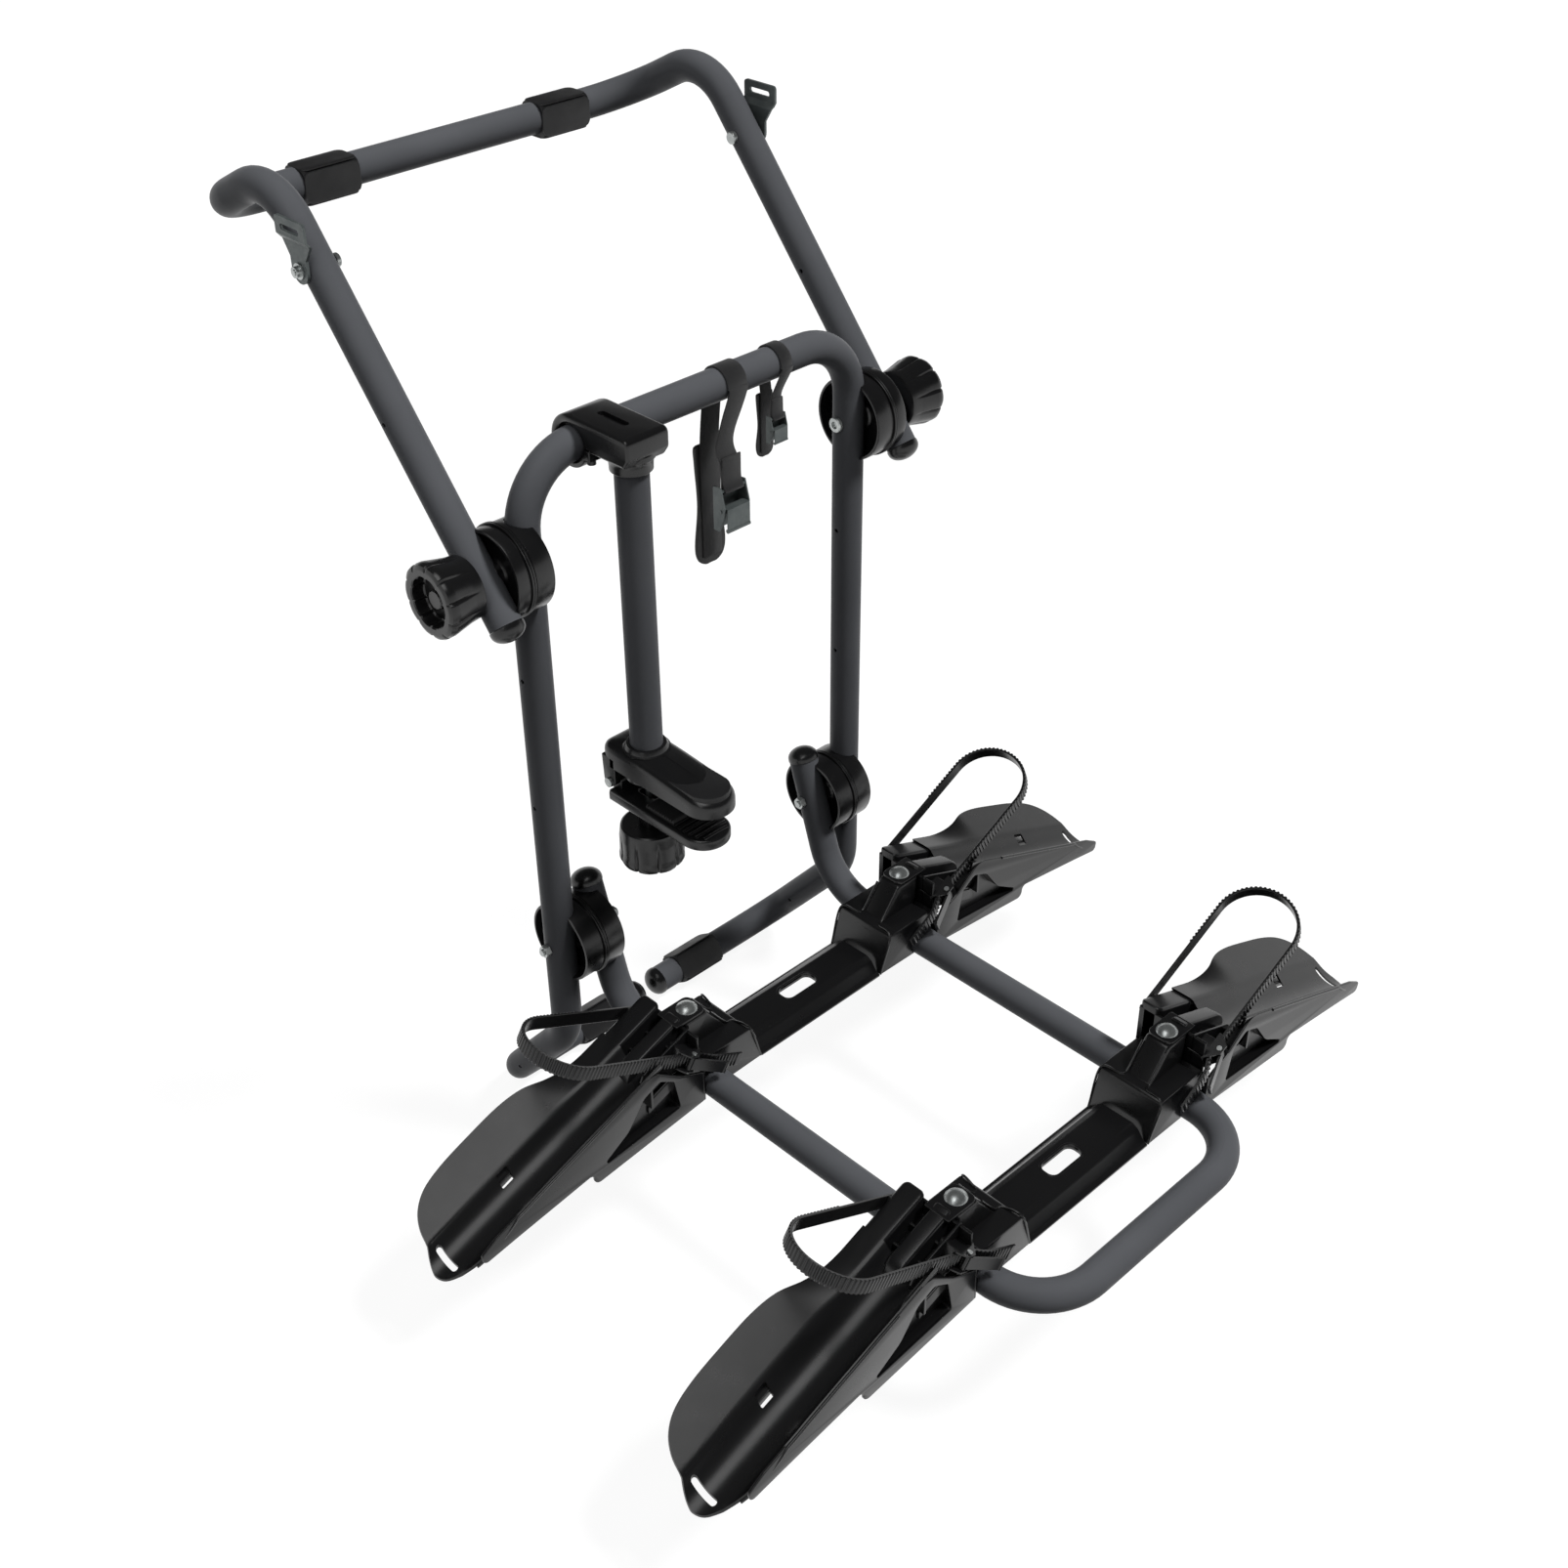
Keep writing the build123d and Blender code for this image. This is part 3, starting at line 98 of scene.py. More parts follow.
def spread(material, factor, low, high):
    # Remaps a 0.3 to 0.7 noise to low..high
    ranged = node(material, "ShaderNodeMapRange")
    ranged.inputs["From Min"].default_value = 0.3
    ranged.inputs["From Max"].default_value = 0.7
    ranged.inputs["To Min"].default_value = low
    ranged.inputs["To Max"].default_value = high
    join(material, factor, ranged.inputs["Value"])
    return ranged.outputs["Result"]


def blendColours(material, factor, first, second):
    mixed = node(material, "ShaderNodeMix", data_type="RGBA")
    mixed.inputs[6].default_value = (*first, 1)
    mixed.inputs[7].default_value = (*second, 1)
    join(material, factor, mixed.inputs[0])
    return mixed.outputs[2]


def bumpFrom(material, height, strength, distance):
    bump = node(material, "ShaderNodeBump", Strength=strength, Distance=distance)
    join(material, height, bump.inputs["Height"])
    return bump.outputs["Normal"]


# Finishes

finish = {
    "paint": ((0.080, 0.083, 0.090), (0.092, 0.095, 0.103)),
    "plastic": ((0.0045, 0.0045, 0.0048), (0.0060, 0.0060, 0.0063)),
    "rubber": ((0.0070, 0.0070, 0.0074), (0.0100, 0.0100, 0.0105)),
    "zinc": ((0.34, 0.36, 0.36), (0.50, 0.52, 0.51)),
    "darkZinc": ((0.085, 0.100, 0.100), (0.130, 0.146, 0.144)),
    # webbing: tone patches on blackWebbing; in wovenWebbing the darker tone is painted shade in the weave's
    # valleys
    "webbing": ((0.0050, 0.0050, 0.0053), (0.0160, 0.0160, 0.0168)),
}


def finishGrain(name, colourName, roughness, grain, depth, patch=0.12, **sockets):
    # Two close colours over patches, roughness that wanders, and a fine grain in the bump
    material, shader = newMaterial(name, **sockets)
    place = node(material, "ShaderNodeTexCoord").outputs["Object"]
    patches = noiseOn(material, place, patch, 3.0)
    colour = blendColours(material, spread(material, patches, 0, 1), *finish[colourName])
    join(material, colour, shader.inputs["Base Color"])
    wander = noiseOn(material, place, patch * 0.2, 4.0)
    join(material, spread(material, wander, *roughness), shader.inputs["Roughness"])
    fine = noiseOn(material, place, grain, 3.0)
    join(material, bumpFrom(material, fine, 0.5, depth), shader.inputs["Normal"])
    return material


def makeFinishes():
    made = {}
    satin = dict(Specular_IOR_Level=0.06)
    made["frame_paint"] = finishGrain("powderCoatedTube", "paint", (0.38, 0.46), 0.0011, 0.00006, **satin)
    made["black_plastic"] = finishGrain("mouldedBlackPlastic", "plastic", (0.27, 0.30), 0.0007, 0.00002)
    made["rubber"] = finishGrain("blackRubber", "rubber", (0.50, 0.64), 0.0009, 0.00007)
    made["webbing"] = finishGrain("blackWebbing", "webbing", (0.70, 0.85), 0.0010, 0.00010)
    bright, dull = dict(patch=0.02, Metallic=0.9), dict(patch=0.02, Metallic=0.5)
    made["zinc_steel"] = finishGrain("zincPlatedSteel", "zinc", (0.26, 0.40), 0.0006, 0.00001, **bright)
    made["dark_zinc"] = finishGrain("darkZincPlate", "darkZinc", (0.40, 0.52), 0.0006, 0.00001, **dull)
    made["black_steel"] = finishGrain("blackCoatedSteel", "plastic", (0.35, 0.45), 0.0008, 0.00004)
    return made


finishes = makeFinishes()
slotOf = {part["node"]: part["material_slot"] for part in frame["record"]["subparts"]}
darkPlated = ("strap_plate", "cam_")  # these pieces are plated darker than the bolts
for name, piece in frame["nodes"].items():
    piece.data.materials.clear()
    piece.data.materials.append(finishes["dark_zinc" if name.startswith(darkPlated) else slotOf[name]])
print("finishes on", len(slotOf), "nodes")


# Shapes, in the carrier's millimetres with heights from the floor line

barHeight = 903.6  # the row's origin is this far above the floor line
railHeight = 200.0
trayRows = {"inner": -146.0, "outer": -539.0}
mainX, upperX, railX = 226.0, 279.0, 171.0  # the three frames' tubes
upperHinge, lowerHinge = 800.5, 319.0
tubeBore = 17.6  # what closes round a tube of the frames
armPlace = (-135.0, -59.0)  # the clamp arm's upright tube
fromSide = dict(across=(0, 1, 0), up=(0, 0, 1))  # a plate whose outline is drawn in Y and Z
fromBack = dict(across=(1, 0, 0), up=(0, 0, 1))  # a plate whose outline is drawn in X and Z


def dense(points, count):
    # Catmull-Rom curve through the points: each span is the cubic whose end slopes are half the
    # difference of the neighbours, read at count even steps over the whole line
    p = np.asarray(points, float)
    full = np.concatenate([2 * p[:1] - p[1:2], p, 2 * p[-1:] - p[-2:-1]])
    u = np.linspace(0, len(p) - 1, count)
    i = np.minimum(u.astype(int), len(p) - 2)
    f = (u - i)[:, None]
    a, b, c, d = full[i], full[i + 1], full[i + 2], full[i + 3]
    slope, bend, twist = c - a, 2 * a - 5 * b + 4 * c - d, 3 * b - a - 3 * c + d
    return 0.5 * (2 * b + slope * f + bend * f ** 2 + twist * f ** 3)


def rounded(corners, radii, steps=6):
    # Closed outline whose corners are replaced by arcs: centre on the bisector, r / sin(half angle) in
    out = []
    count = len(corners)
    radii = radii if hasattr(radii, "__len__") else [radii] * count
    for i in range(count):
        p, a, b = (np.asarray(corners[k % count], float) for k in (i, i - 1, i + 1))
        u, v = (a - p) / np.linalg.norm(a - p), (b - p) / np.linalg.norm(b - p)
        half = 0.5 * math.acos(max(-1, min(1, float(u @ v))))
        if radii[i] < 0.05 or half > 1.55:
            out.append(p[None])
            continue
        cut = radii[i] / math.tan(half)
        middle = p + (u + v) / np.linalg.norm(u + v) * radii[i] / math.sin(half)
        start, end = p + u * cut - middle, p + v * cut - middle
        t = np.linspace(0, 1, steps)[:, None]
        spin = math.pi - 2 * half
        out.append(middle + (np.sin((1 - t) * spin) * start + np.sin(t * spin) * end) / math.sin(spin))
    return np.concatenate(out)


def gridQuads(rows, cols, wrap=False):
    # Quads between neighbouring points of a grid; wrap joins the last column to the first
    i, j = np.meshgrid(np.arange(rows - 1), np.arange(cols if wrap else cols - 1), indexing="ij")
    k = (j + 1) % cols
    return np.stack([i * cols + j, i * cols + k, (i + 1) * cols + k, (i + 1) * cols + j], -1).reshape(-1, 4)


def cleaned(mesh, weld=None, thin=None):
    # Points nearer than weld become one, edges under thin go, and faces turn outwards
    work = bmesh.new()
    work.from_mesh(mesh)
    if weld:
        bmesh.ops.remove_doubles(work, verts=work.verts, dist=weld)
    if thin:
        bmesh.ops.dissolve_degenerate(work, edges=work.edges, dist=thin)
    bmesh.ops.recalc_face_normals(work, faces=work.faces)
    work.to_mesh(mesh)
    work.free()


def linked(name, data):
    # A new object of the scene
    holder = bpy.data.objects.new(name, data)
    bpy.context.scene.collection.objects.link(holder)
    return holder


def arrays(mesh):
    points = np.empty(len(mesh.vertices) * 3)
    mesh.vertices.foreach_get("co", points)
    return points.reshape(-1, 3), [list(face.vertices) for face in mesh.polygons]


def finished(points, faces, *modifiers):
    # The mesh after its modifiers, each given as (kind, settings)
    mesh = bpy.data.meshes.new("draft")
    mesh.from_pydata(np.asarray(points).tolist(), [], [list(face) for face in faces])
    draft = linked("draft", mesh)
    for kind, settings in modifiers:
        step = draft.modifiers.new(kind, kind)
        for key, value in settings.items():
            setattr(step, key, value)
    result = bpy.data.meshes.new_from_object(draft.evaluated_get(bpy.context.evaluated_depsgraph_get()))
    made = arrays(result)
    bpy.data.objects.remove(draft)
    bpy.data.meshes.remove(mesh)
    bpy.data.meshes.remove(result)
    return made


def plate(outlines, depth, bevel, origin=(0, 0, 0), across=(1, 0, 0), up=(0, 1, 0)):
    # Flat plate with rounded rims: the first outline is its edge, the rest are holes
    curve = bpy.data.curves.new("outline", "CURVE")
    curve.dimensions, curve.fill_mode = "2D", "BOTH"
    curve.extrude, curve.bevel_depth, curve.offset = depth / 2 - bevel, bevel, -bevel
    curve.bevel_resolution = 2
    for line in outlines:
        spline = curve.splines.new("POLY")
        spline.points.add(len(line) - 1)
        spline.use_cyclic_u = True
        spline.points.foreach_set("co", np.c_[line, np.zeros(len(line)), np.ones(len(line))].ravel())
    holder = linked("outline", curve)
    mesh = bpy.data.meshes.new_from_object(holder.evaluated_get(bpy.context.evaluated_depsgraph_get()))
    flat, faces = arrays(mesh)
    bpy.data.objects.remove(holder)
    bpy.data.curves.remove(curve)
    across, up = (np.asarray(v, float) / np.linalg.norm(v) for v in (across, up))
    turned = flat[:, :1] * across + flat[:, 1:2] * up + flat[:, 2:] * np.cross(across, up)
    return turned + origin, faces


def roundedBlock(low, high, corner, bevel):
    # Box with upright corners of radius corner and a rounded rim above and below
    (x0, y0, z0), (x1, y1, z1) = low, high
    outline = rounded([(x0, y0), (x1, y0), (x1, y1), (x0, y1)], corner)
    return plate([outline], z1 - z0, bevel, (0, 0, (z0 + z1) / 2))


def tubeAlong(path, radius, sides=10):
    # Circle carried along a path: each ring stands on the tangent's side and its cross product
    path = np.asarray(path, float)
    tangent = np.gradient(path, axis=0)
    tangent /= np.linalg.norm(tangent, axis=1)[:, None]
    side = np.cross(tangent, (0.03, 0.05, 1.0))
    side /= np.linalg.norm(side, axis=1)[:, None]
    other = np.cross(side, tangent)
    a = np.linspace(0, 2 * math.pi, sides, endpoint=False)[None, :, None]
    rings = path[:, None] + radius * (np.cos(a) * side[:, None] + np.sin(a) * other[:, None])
    count = len(path) * sides
    caps = [list(range(sides)), list(range(count - sides, count))]
    return rings.reshape(-1, 3), gridQuads(len(path), sides, True).tolist() + caps


def turnedBody(profile, sides, centre, axis=(0, 0, 1), lobes=None):
    # Profile (radius, height) turned about the axis; lobes scales the radius by angle and height
    profile = np.asarray(profile, float)
    axis = np.asarray(axis, float) / np.linalg.norm(axis)
    first = np.cross(axis, (0.0, 1.0, 0.0) if abs(axis[1]) < 0.9 else (1.0, 0.0, 0.0))
    first /= np.linalg.norm(first)
    second = np.cross(axis, first)
    a = np.linspace(0, 2 * math.pi, sides, endpoint=False)
    r = np.repeat(profile[:, :1], sides, axis=1)
    if lobes is not None:
        r = r * lobes(a[None, :], profile[:, 1:2])
    ring = np.cos(a)[None, :, None] * first + np.sin(a)[None, :, None] * second
    points = centre + r[..., None] * ring + profile[:, 1, None, None] * axis
    return points.reshape(-1, 3), gridQuads(len(profile), sides, True).tolist()


def joined(*parts):
    points, faces, start = [], [], 0
    for some, theirs in parts:
        points.append(np.asarray(some, float))
        faces += [[int(v) + start for v in face] for face in theirs]
        start += len(some)
    return np.concatenate(points), faces


def mirroredAcross(points, faces):
    return np.asarray(points) * (-1, 1, 1), [face[::-1] for face in faces]


def makePiece(name, shape, slotName, body, replaced, sharp=35.0):
    # One object from points in millimetres: doubles merged, faces turned outwards, edges over sharp degrees
    # kept crisp
    points, faces = shape
    mesh = bpy.data.meshes.new(name)
    mesh.from_pydata(((np.asarray(points) - (0, 0, barHeight)) / 1000).tolist(), [], faces)
    cleaned(mesh, 1e-5, 1e-6)
    mesh.shade_smooth()
    mesh.set_sharp_from_angle(angle=math.radians(sharp))
    mesh.materials.append(finishes[slotName])
    piece = linked(name, mesh)
    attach(piece, body)
    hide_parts(replaced)


def makeOnTrays(ending, newEnding, shape, sharp=35.0):
    # The same plastic shape on both wheel trays, each in place of that tray's node
    for place, y in trayRows.items():
        moved = (shape[0] + (0, y, railHeight), shape[1])
        makePiece(place + ending + newEnding, moved, "black_plastic", "tray_frame", place + ending, sharp)


def bothSides(shape):
    return joined(shape, mirroredAcross(*shape))


# Wheel scoops

scoop = {
    "slope": 0.385, "creaseTop": 80.0, "slopeStart": 197.0, "start": 189.0, "troughStart": 252.0,
    "wall": 3.0, "creaseAt": 22.0, "bottomAt": -13.0, "depth": 18.0, "rimAt": -48.0, "rimRise": 20.0,
    "wingRise": 0.40, "wingStart": 276.0, "wingStep": 75.0,
    "farEdge": [
        (250, 50), (300, 50.5), (329, 55), (357, 65.5), (386, 70), (424, 70.5), (462, 69.5), (489, 65),
        (506, 55), (516, 40), (520.5, 22)],
    "tongue": [(520.5, 22), (525, 14), (528.5, 5), (529.5, -3), (525, -15), (513, -27)],
    "nearEdge": [(250, -48), (330, -48), (410, -48), (453, -48), (485, -43), (513, -27)],
}


def creaseHeight(x):
    return scoop["creaseTop"] - scoop["slope"] * (x - scoop["slopeStart"])


def scoopSection(x, y):
    # Height over the crease line: outside it a wing that lifts as it leaves the bar, and inside it the
    # circle through crease, bottom and rim, with a shallow groove along the crease
    x1, x2, x3 = scoop["creaseAt"], scoop["bottomAt"], scoop["rimAt"]
    y1, y2, y3 = 0.0, -scoop["depth"], scoop["rimRise"]
    d = 2 * (x1 * (y2 - y3) + x2 * (y3 - y1) + x3 * (y1 - y2))
    s1, s2, s3 = x1 ** 2 + y1 ** 2, x2 ** 2 + y2 ** 2, x3 ** 2 + y3 ** 2
    a = (s1 * (y2 - y3) + s2 * (y3 - y1) + s3 * (y1 - y2)) / d
    b = (s1 * (x3 - x2) + s2 * (x1 - x3) + s3 * (x2 - x1)) / d
    r = math.hypot(x1 - a, y1 - b)
    trough = b - np.sqrt(np.maximum(r * r - (y - a) ** 2, 1.0))
    lift = np.clip((x - scoop["wingStart"]) / scoop["wingStep"], 0, 1)
    wing = scoop["wingRise"] * lift * lift * (3 - 2 * lift) * (y - x1)
    groove = 1.1 * np.exp(-((y - x1) / 1.6) ** 2)
    return np.where(y > x1, wing, trough) - groove


def scoopSkin():
    # Two patches ruled between edge curves in plan, lifted onto the section and the slope: the wing from
    # crease to far edge, and the trough from near rim to crease and then to the tongue's outline
    far = dense(scoop["farEdge"], 49)
    tongue = dense(scoop["tongue"], 25)
    crease = np.c_[np.linspace(250, far[-1, 0], 49), np.full(49, scoop["creaseAt"])]
    near = dense(scoop["nearEdge"], 73)
    inner = np.concatenate([crease, tongue[1:]])
    t = (np.sin(np.linspace(-0.5, 0.5, 13) * math.pi) / 2 + 0.5)[None, :, None]
    wing = crease[:, None] * (1 - t) + far[:, None] * t
    t = np.linspace(0, 1, 25)[None, :, None] ** 0.9
    trough = near[:, None] * (1 - t) + inner[:, None] * t
    parts = []
    for flat in (wing, trough):
        rows, cols = flat.shape[:2]
        flat = flat.reshape(-1, 2)
        parts.append((np.c_[flat, scoopSection(flat[:, 0], flat[:, 1])], gridQuads(rows, cols).tolist()))
    return joined(*parts)


def toolFrom(shape):
    # A closed shape that cuts or is welded on; it is removed once that is done
    mesh = bpy.data.meshes.new("tool")
    mesh.from_pydata(np.asarray(shape[0]).tolist(), [], shape[1])
    cleaned(mesh, 1e-4)
    return linked("tool", mesh)


def mergedShape(points, faces):
    # The same shape with its seams welded; a face that comes twice is kept once
    work = bmesh.new()
    verts = [work.verts.new(p) for p in np.asarray(points).tolist()]
    for face in faces:
        try:
            work.faces.new([verts[i] for i in face])
        except ValueError:
            pass
    bmesh.ops.remove_doubles(work, verts=work.verts, dist=1e-3)
    bmesh.ops.dissolve_degenerate(work, edges=work.edges, dist=1e-4)
    bmesh.ops.recalc_face_normals(work, faces=work.faces)
    mesh = bpy.data.meshes.new("merged")
    work.to_mesh(mesh)
    work.free()
    result = arrays(mesh)
    bpy.data.meshes.remove(mesh)
    return result


def scoopShell():
    # The skin given its wall, with the tongue's strap slot and the drain slot cut and its rims rounded
    skin = mergedShape(*scoopSkin())
    slots = joined(
        plate([rounded([(508.5, -16), (515.5, -16), (515.5, 16), (508.5, 16)], 3.4)], 160, 0.2),
        plate([rounded([(413, 9), (428, 9), (428, 20.6), (413, 20.6)], 1.5)], 160, 0.2))
    tool = toolFrom(slots)
    rim = dict(
        width=0.7, segments=2, limit_method="ANGLE", angle_limit=math.radians(50), use_clamp_overlap=True)
    shell = finished(
        *skin,
        ("SOLIDIFY", dict(thickness=scoop["wall"], offset=-1.0, use_even_offset=True)),
        ("BOOLEAN", dict(operation="DIFFERENCE", object=tool, solver="EXACT")),
        ("BEVEL", rim))
    bpy.data.objects.remove(tool)
    return shell


def scoopFrame():
    # Everything under and behind the skin that follows the slope: two broad bars, ribs, floor, the ledge
    # under the drain slot and the closing wall
    start, end = scoop["start"], scoop["troughStart"] + 12
    parts = [roundedBlock((start, 22, -56), (284, 50, 0.6), 7.0, 3.5)]
    nose = rounded([(start, 0), (end + 4, 0), (end + 4, -44), (start, -44)], [3.0, 15.0, 2.0, 2.0], 10)
    parts.append(plate([nose], 20, 3.2, (0, -1, 0), **fromBack))
    for y, top in ((-22.5, -6), (-37.5, -24)):
        corners = [(start, top), (end - 8, top), (end, top - 12), (end, -44), (start, -44)]
        rib = rounded(corners, [2.0, 5.0, 2.0, 1.0, 1.0])
        parts.append(plate([rib], 3.0, 0.9, (0, y, 0), **fromBack))
    parts.append(roundedBlock((start, -39, -29), (end, 25, -26), 1.0, 0.5))
    parts.append(roundedBlock((409, 14.5, -14), (434, 30, -6.5), 1.0, 0.6))
    for x in (212.0, 236.0):
        parts.append(roundedBlock((x - 1.4, -38, -44), (x + 1.4, 24, -16), 0.8, 0.6))
    closing = [(24, -2), (12, -11), (-13, -19), (-34, -6), (-46, 14), (-46, -30), (24, -30)]
    parts.append(plate([np.array(closing, float)], 3.0, 0.6, (end, 0, 0), **fromSide))
    return joined(*parts)


def scoopFlank():
    # Near side wall with its open pocket, foot rail and tapering outer part
    rim = [creaseHeight(x) + scoop["rimRise"] for x in (480, 262)]
    outline = rounded(
        [(192, -12), (350, -29), (350, -12), (456, -28), (498, -35), (500, -22), (480, rim[0] - 1),
         (262, rim[1] - 1), (225, 46), (192, 30)],
        [2, 8, 6, 20, 6, 4, 20, 20, 8, 4])
    hole = rounded(
        [(226, 2), (234, 44), (254, 57), (277, 47), (300, 15), (340, -10)], [3, 6, 8, 15, 30, 2.5], 9)
    around = rounded(
        [(222, -2), (230, 46), (253, 61.5), (280, 50.5), (304, 17), (350, -15)], [4, 8, 10, 17, 32, 3], 9)
    foot = rounded([(192, -12), (344, -28.4), (344, -24.4), (192, -8)], 1.5)
    layers = (
        ([outline, hole], 3.4, 1.0, 1.5), ([around, hole], 13.0, 0.8, 6.5), ([around], 2.0, 0.5, 13.0),
        ([foot], 27, 0.9, 13.5))
    parts = []
    for lines, thick, bevel, y in layers:
        parts.append(plate(lines, thick, bevel, (0, scoop["rimAt"] + y, 0), **fromBack))
    parts.append(roundedBlock((189, -48, -12), (193, 50, 30), 1.5, 0.8))
    parts.append(roundedBlock((189, -39, 22), (192.5, 50, 74), 1.5, 0.8))
    return joined(*parts)


strapPlane = {"foot": (203.0, -40.0, 52.0), "tilt": 27.0, "across": (0.0, 93.0, 9.0)}


def onStrapPlane(points, faces):
    # u runs up and outwards, v from the near limb to the far one, n is their cross product
    a = math.radians(strapPlane["tilt"])
    u = np.array([math.cos(a), 0, math.sin(a)])
    across = np.array(strapPlane["across"])
    v = across - u * (across @ u)
    v /= np.linalg.norm(v)
    p = np.asarray(points)
    return p[:, :1] * u + p[:, 1:2] * v + p[:, 2:] * np.cross(u, v) + strapPlane["foot"], faces


def scoopBeads():
    # Rounded bead along the near rim, following the rim's own curve
    near = dense(scoop["nearEdge"], 60)[8:-6]
    line = np.c_[near, scoopSection(near[:, 0], near[:, 1]) - 0.6]
    return tubeAlong(line, 1.9)


def makeScoopShape():
    # The sloping parts are lifted onto the crease's height, then flank, tab and strap seats are added
    points, faces = joined(scoopShell(), scoopFrame(), scoopBeads())
    lifted = points + np.c_[np.zeros((len(points), 2)), creaseHeight(points[:, 0])]
    tab = rounded([(156, -16), (200, -16), (200, 16), (156, 16)], [8, 1, 1, 8])
    nearSeat = roundedBlock((-12, 3.9, -8), (14, 24, 8), 1.0, 0.8)
    farSeat = roundedBlock((-2, 87, -8), (20, 91.8, 8), 1.0, 0.6)
    return joined(
        (lifted, faces), scoopFlank(), plate([tab], 4.0, 1.0, (0, 0, 78.0)),
        onStrapPlane(*joined(nearSeat, farSeat)))


def makeScoops():
    shape = makeScoopShape()
    for place, y in trayRows.items():
        for word, (points, faces) in (("right", shape), ("left", mirroredAcross(*shape))):
            name = place + "_scoop_" + word
            moved = (points + (0, y, railHeight), faces)
            makePiece(name + "_moulding", moved, "black_plastic", "tray_frame", name)
    print("scoops made")


makeScoops()

# Cutting helpers

def rod(centre, axis, radius, length, sides=48):
    # Solid round bar centred on a point
    half = length / 2
    return turnedBody([(0, -half), (radius, -half), (radius, half), (0, half)], sides, centre, axis)


def cutFrom(shape, tools, rim=0.8, angle=40.0, added=()):
    # Welds the added shapes to a closed shape, takes the tools out of it and rounds the edges left
    steps, objects = [], []
    for other, kind in [(one, "UNION") for one in added] + [(one, "DIFFERENCE") for one in tools]:
        objects.append(toolFrom(other))
        steps.append(("BOOLEAN", dict(operation=kind, object=objects[-1], solver="EXACT")))
    if rim:
        edges = dict(width=rim, segments=2, limit_method="ANGLE", angle_limit=math.radians(angle))
        steps.append(("BEVEL", edges))
    result = finished(*mergedShape(*shape), *steps)
    for holder in objects:
        bpy.data.objects.remove(holder)
    return result


# Hinge pods and knobs

pod = {"radius": 47.0, "flange": 49.0, "wall": 3.6, "floor": 8.0, "hub": 15.0}
legUp = (0.0, math.cos(math.radians(50.0)), math.sin(math.radians(50.0)))
stubUp = (0.0, math.sin(math.radians(17.4)), math.cos(math.radians(17.4)))


def podCup(reach):
    # Profile of one half pod: mating flange, grooved drum, rounded rim, hollow with a floor and a hub
    r, w, flange, floor, hub = (pod[key] for key in ("radius", "wall", "flange", "floor", "hub"))
    return [
        (0, 0), (flange - 0.6, 0), (flange, 0.6), (flange, 1.8), (flange - 0.6, 2.4), (r - 0.8, 2.6),
        (r - 0.8, 3.8), (r, 4.2), (r, reach - 1.6), (r - 0.5, reach - 0.5), (r - 1.6, reach),
        (r - w + 0.6, reach), (r - w, reach - 0.8), (r - w - 0.6, floor + 2), (r - w - 2, floor),
        (hub + 2, floor), (hub, floor + 2), (hub, reach - 1), (hub - 1, reach), (0, reach)]


def makePods():
    # Each hinge has two cups back to back; the tube's own groove is cut out of the outer ends
    cups = (
        ("upper_pod_main", "main_frame", 252.35, mainX, upperHinge, (0, 0, 1), 0.0),
        ("upper_pod_leg", "upper_frame", 252.65, upperX, upperHinge, legUp, 9.0),
        ("lower_pod_main", "main_frame", 198.65, mainX, lowerHinge, (0, 0, 1), 0.0),
        ("lower_pod_stub", "tray_frame", 198.35, railX, lowerHinge, stubUp, 0.0))
    for name, body, inner, tubeAt, z, along, short in cups:
        outward = 1 if tubeAt > inner else -1
        reach = abs(tubeAt - inner) - short
        cup = turnedBody(podCup(reach), 96, (inner, 0, z), (outward, 0, 0))
        cup = cutFrom(cup, [rod((tubeAt, 0, z), along, tubeBore, 300)], 0.5, 45)
        makePiece(name + "_cups", bothSides(cup), "black_plastic", body, name)


def knobProfile(length, outer, neck, bore=0.0):
    # Side of a grip from its seat to the recess in its end, closed down to the bore if it has one
    side = [
        (bore, 0), (neck - 2, 0), (neck, 1.2), (neck + 0.6, 3), (neck + 2, length * 0.3),
        (outer - 0.8, length * 0.72), (outer, length * 0.8), (outer, length - 5),
        (outer - 1.6, length - 1.6), (outer - 5, length)]
    recess = (
        (0.70, 0), (0.67, 1.2), (0.64, 13), (0.61, 14.5), (0.30, 14.5), (0.27, 13), (0.26, 9), (0.23, 8))
    side += [(outer * share, length - deep) for share, deep in recess]
    return side + [(bore, length - 8), (bore, 0)]


def knobLobes(count, length):
    # Radius times a nearly flat facet, 1 - 0.02 * cos^2, less a thin groove, 0.05 * cos^60, between two
    # facets; both are deepest at the outer end and gone at the neck
    def scale(angle, height):
        fade = np.clip((height - length * 0.12) / (length * 0.5), 0, 1)
        wave = np.cos(angle * count / 2)
        return 1 - fade * (0.02 * wave ** 2 + 0.05 * wave ** 60)
    return scale


def resampled(profile):
    # More points along straight runs of a profile, so that the lobes bend smoothly
    step = 1.6
    p = np.asarray(profile, float)
    out = [p[:1]]
    for a, b in zip(p[:-1], p[1:]):
        n = max(1, int(np.linalg.norm(b - a) / step))
        out.append(a + (b - a) * np.linspace(0, 1, n + 1)[1:, None])
    return np.concatenate(out)


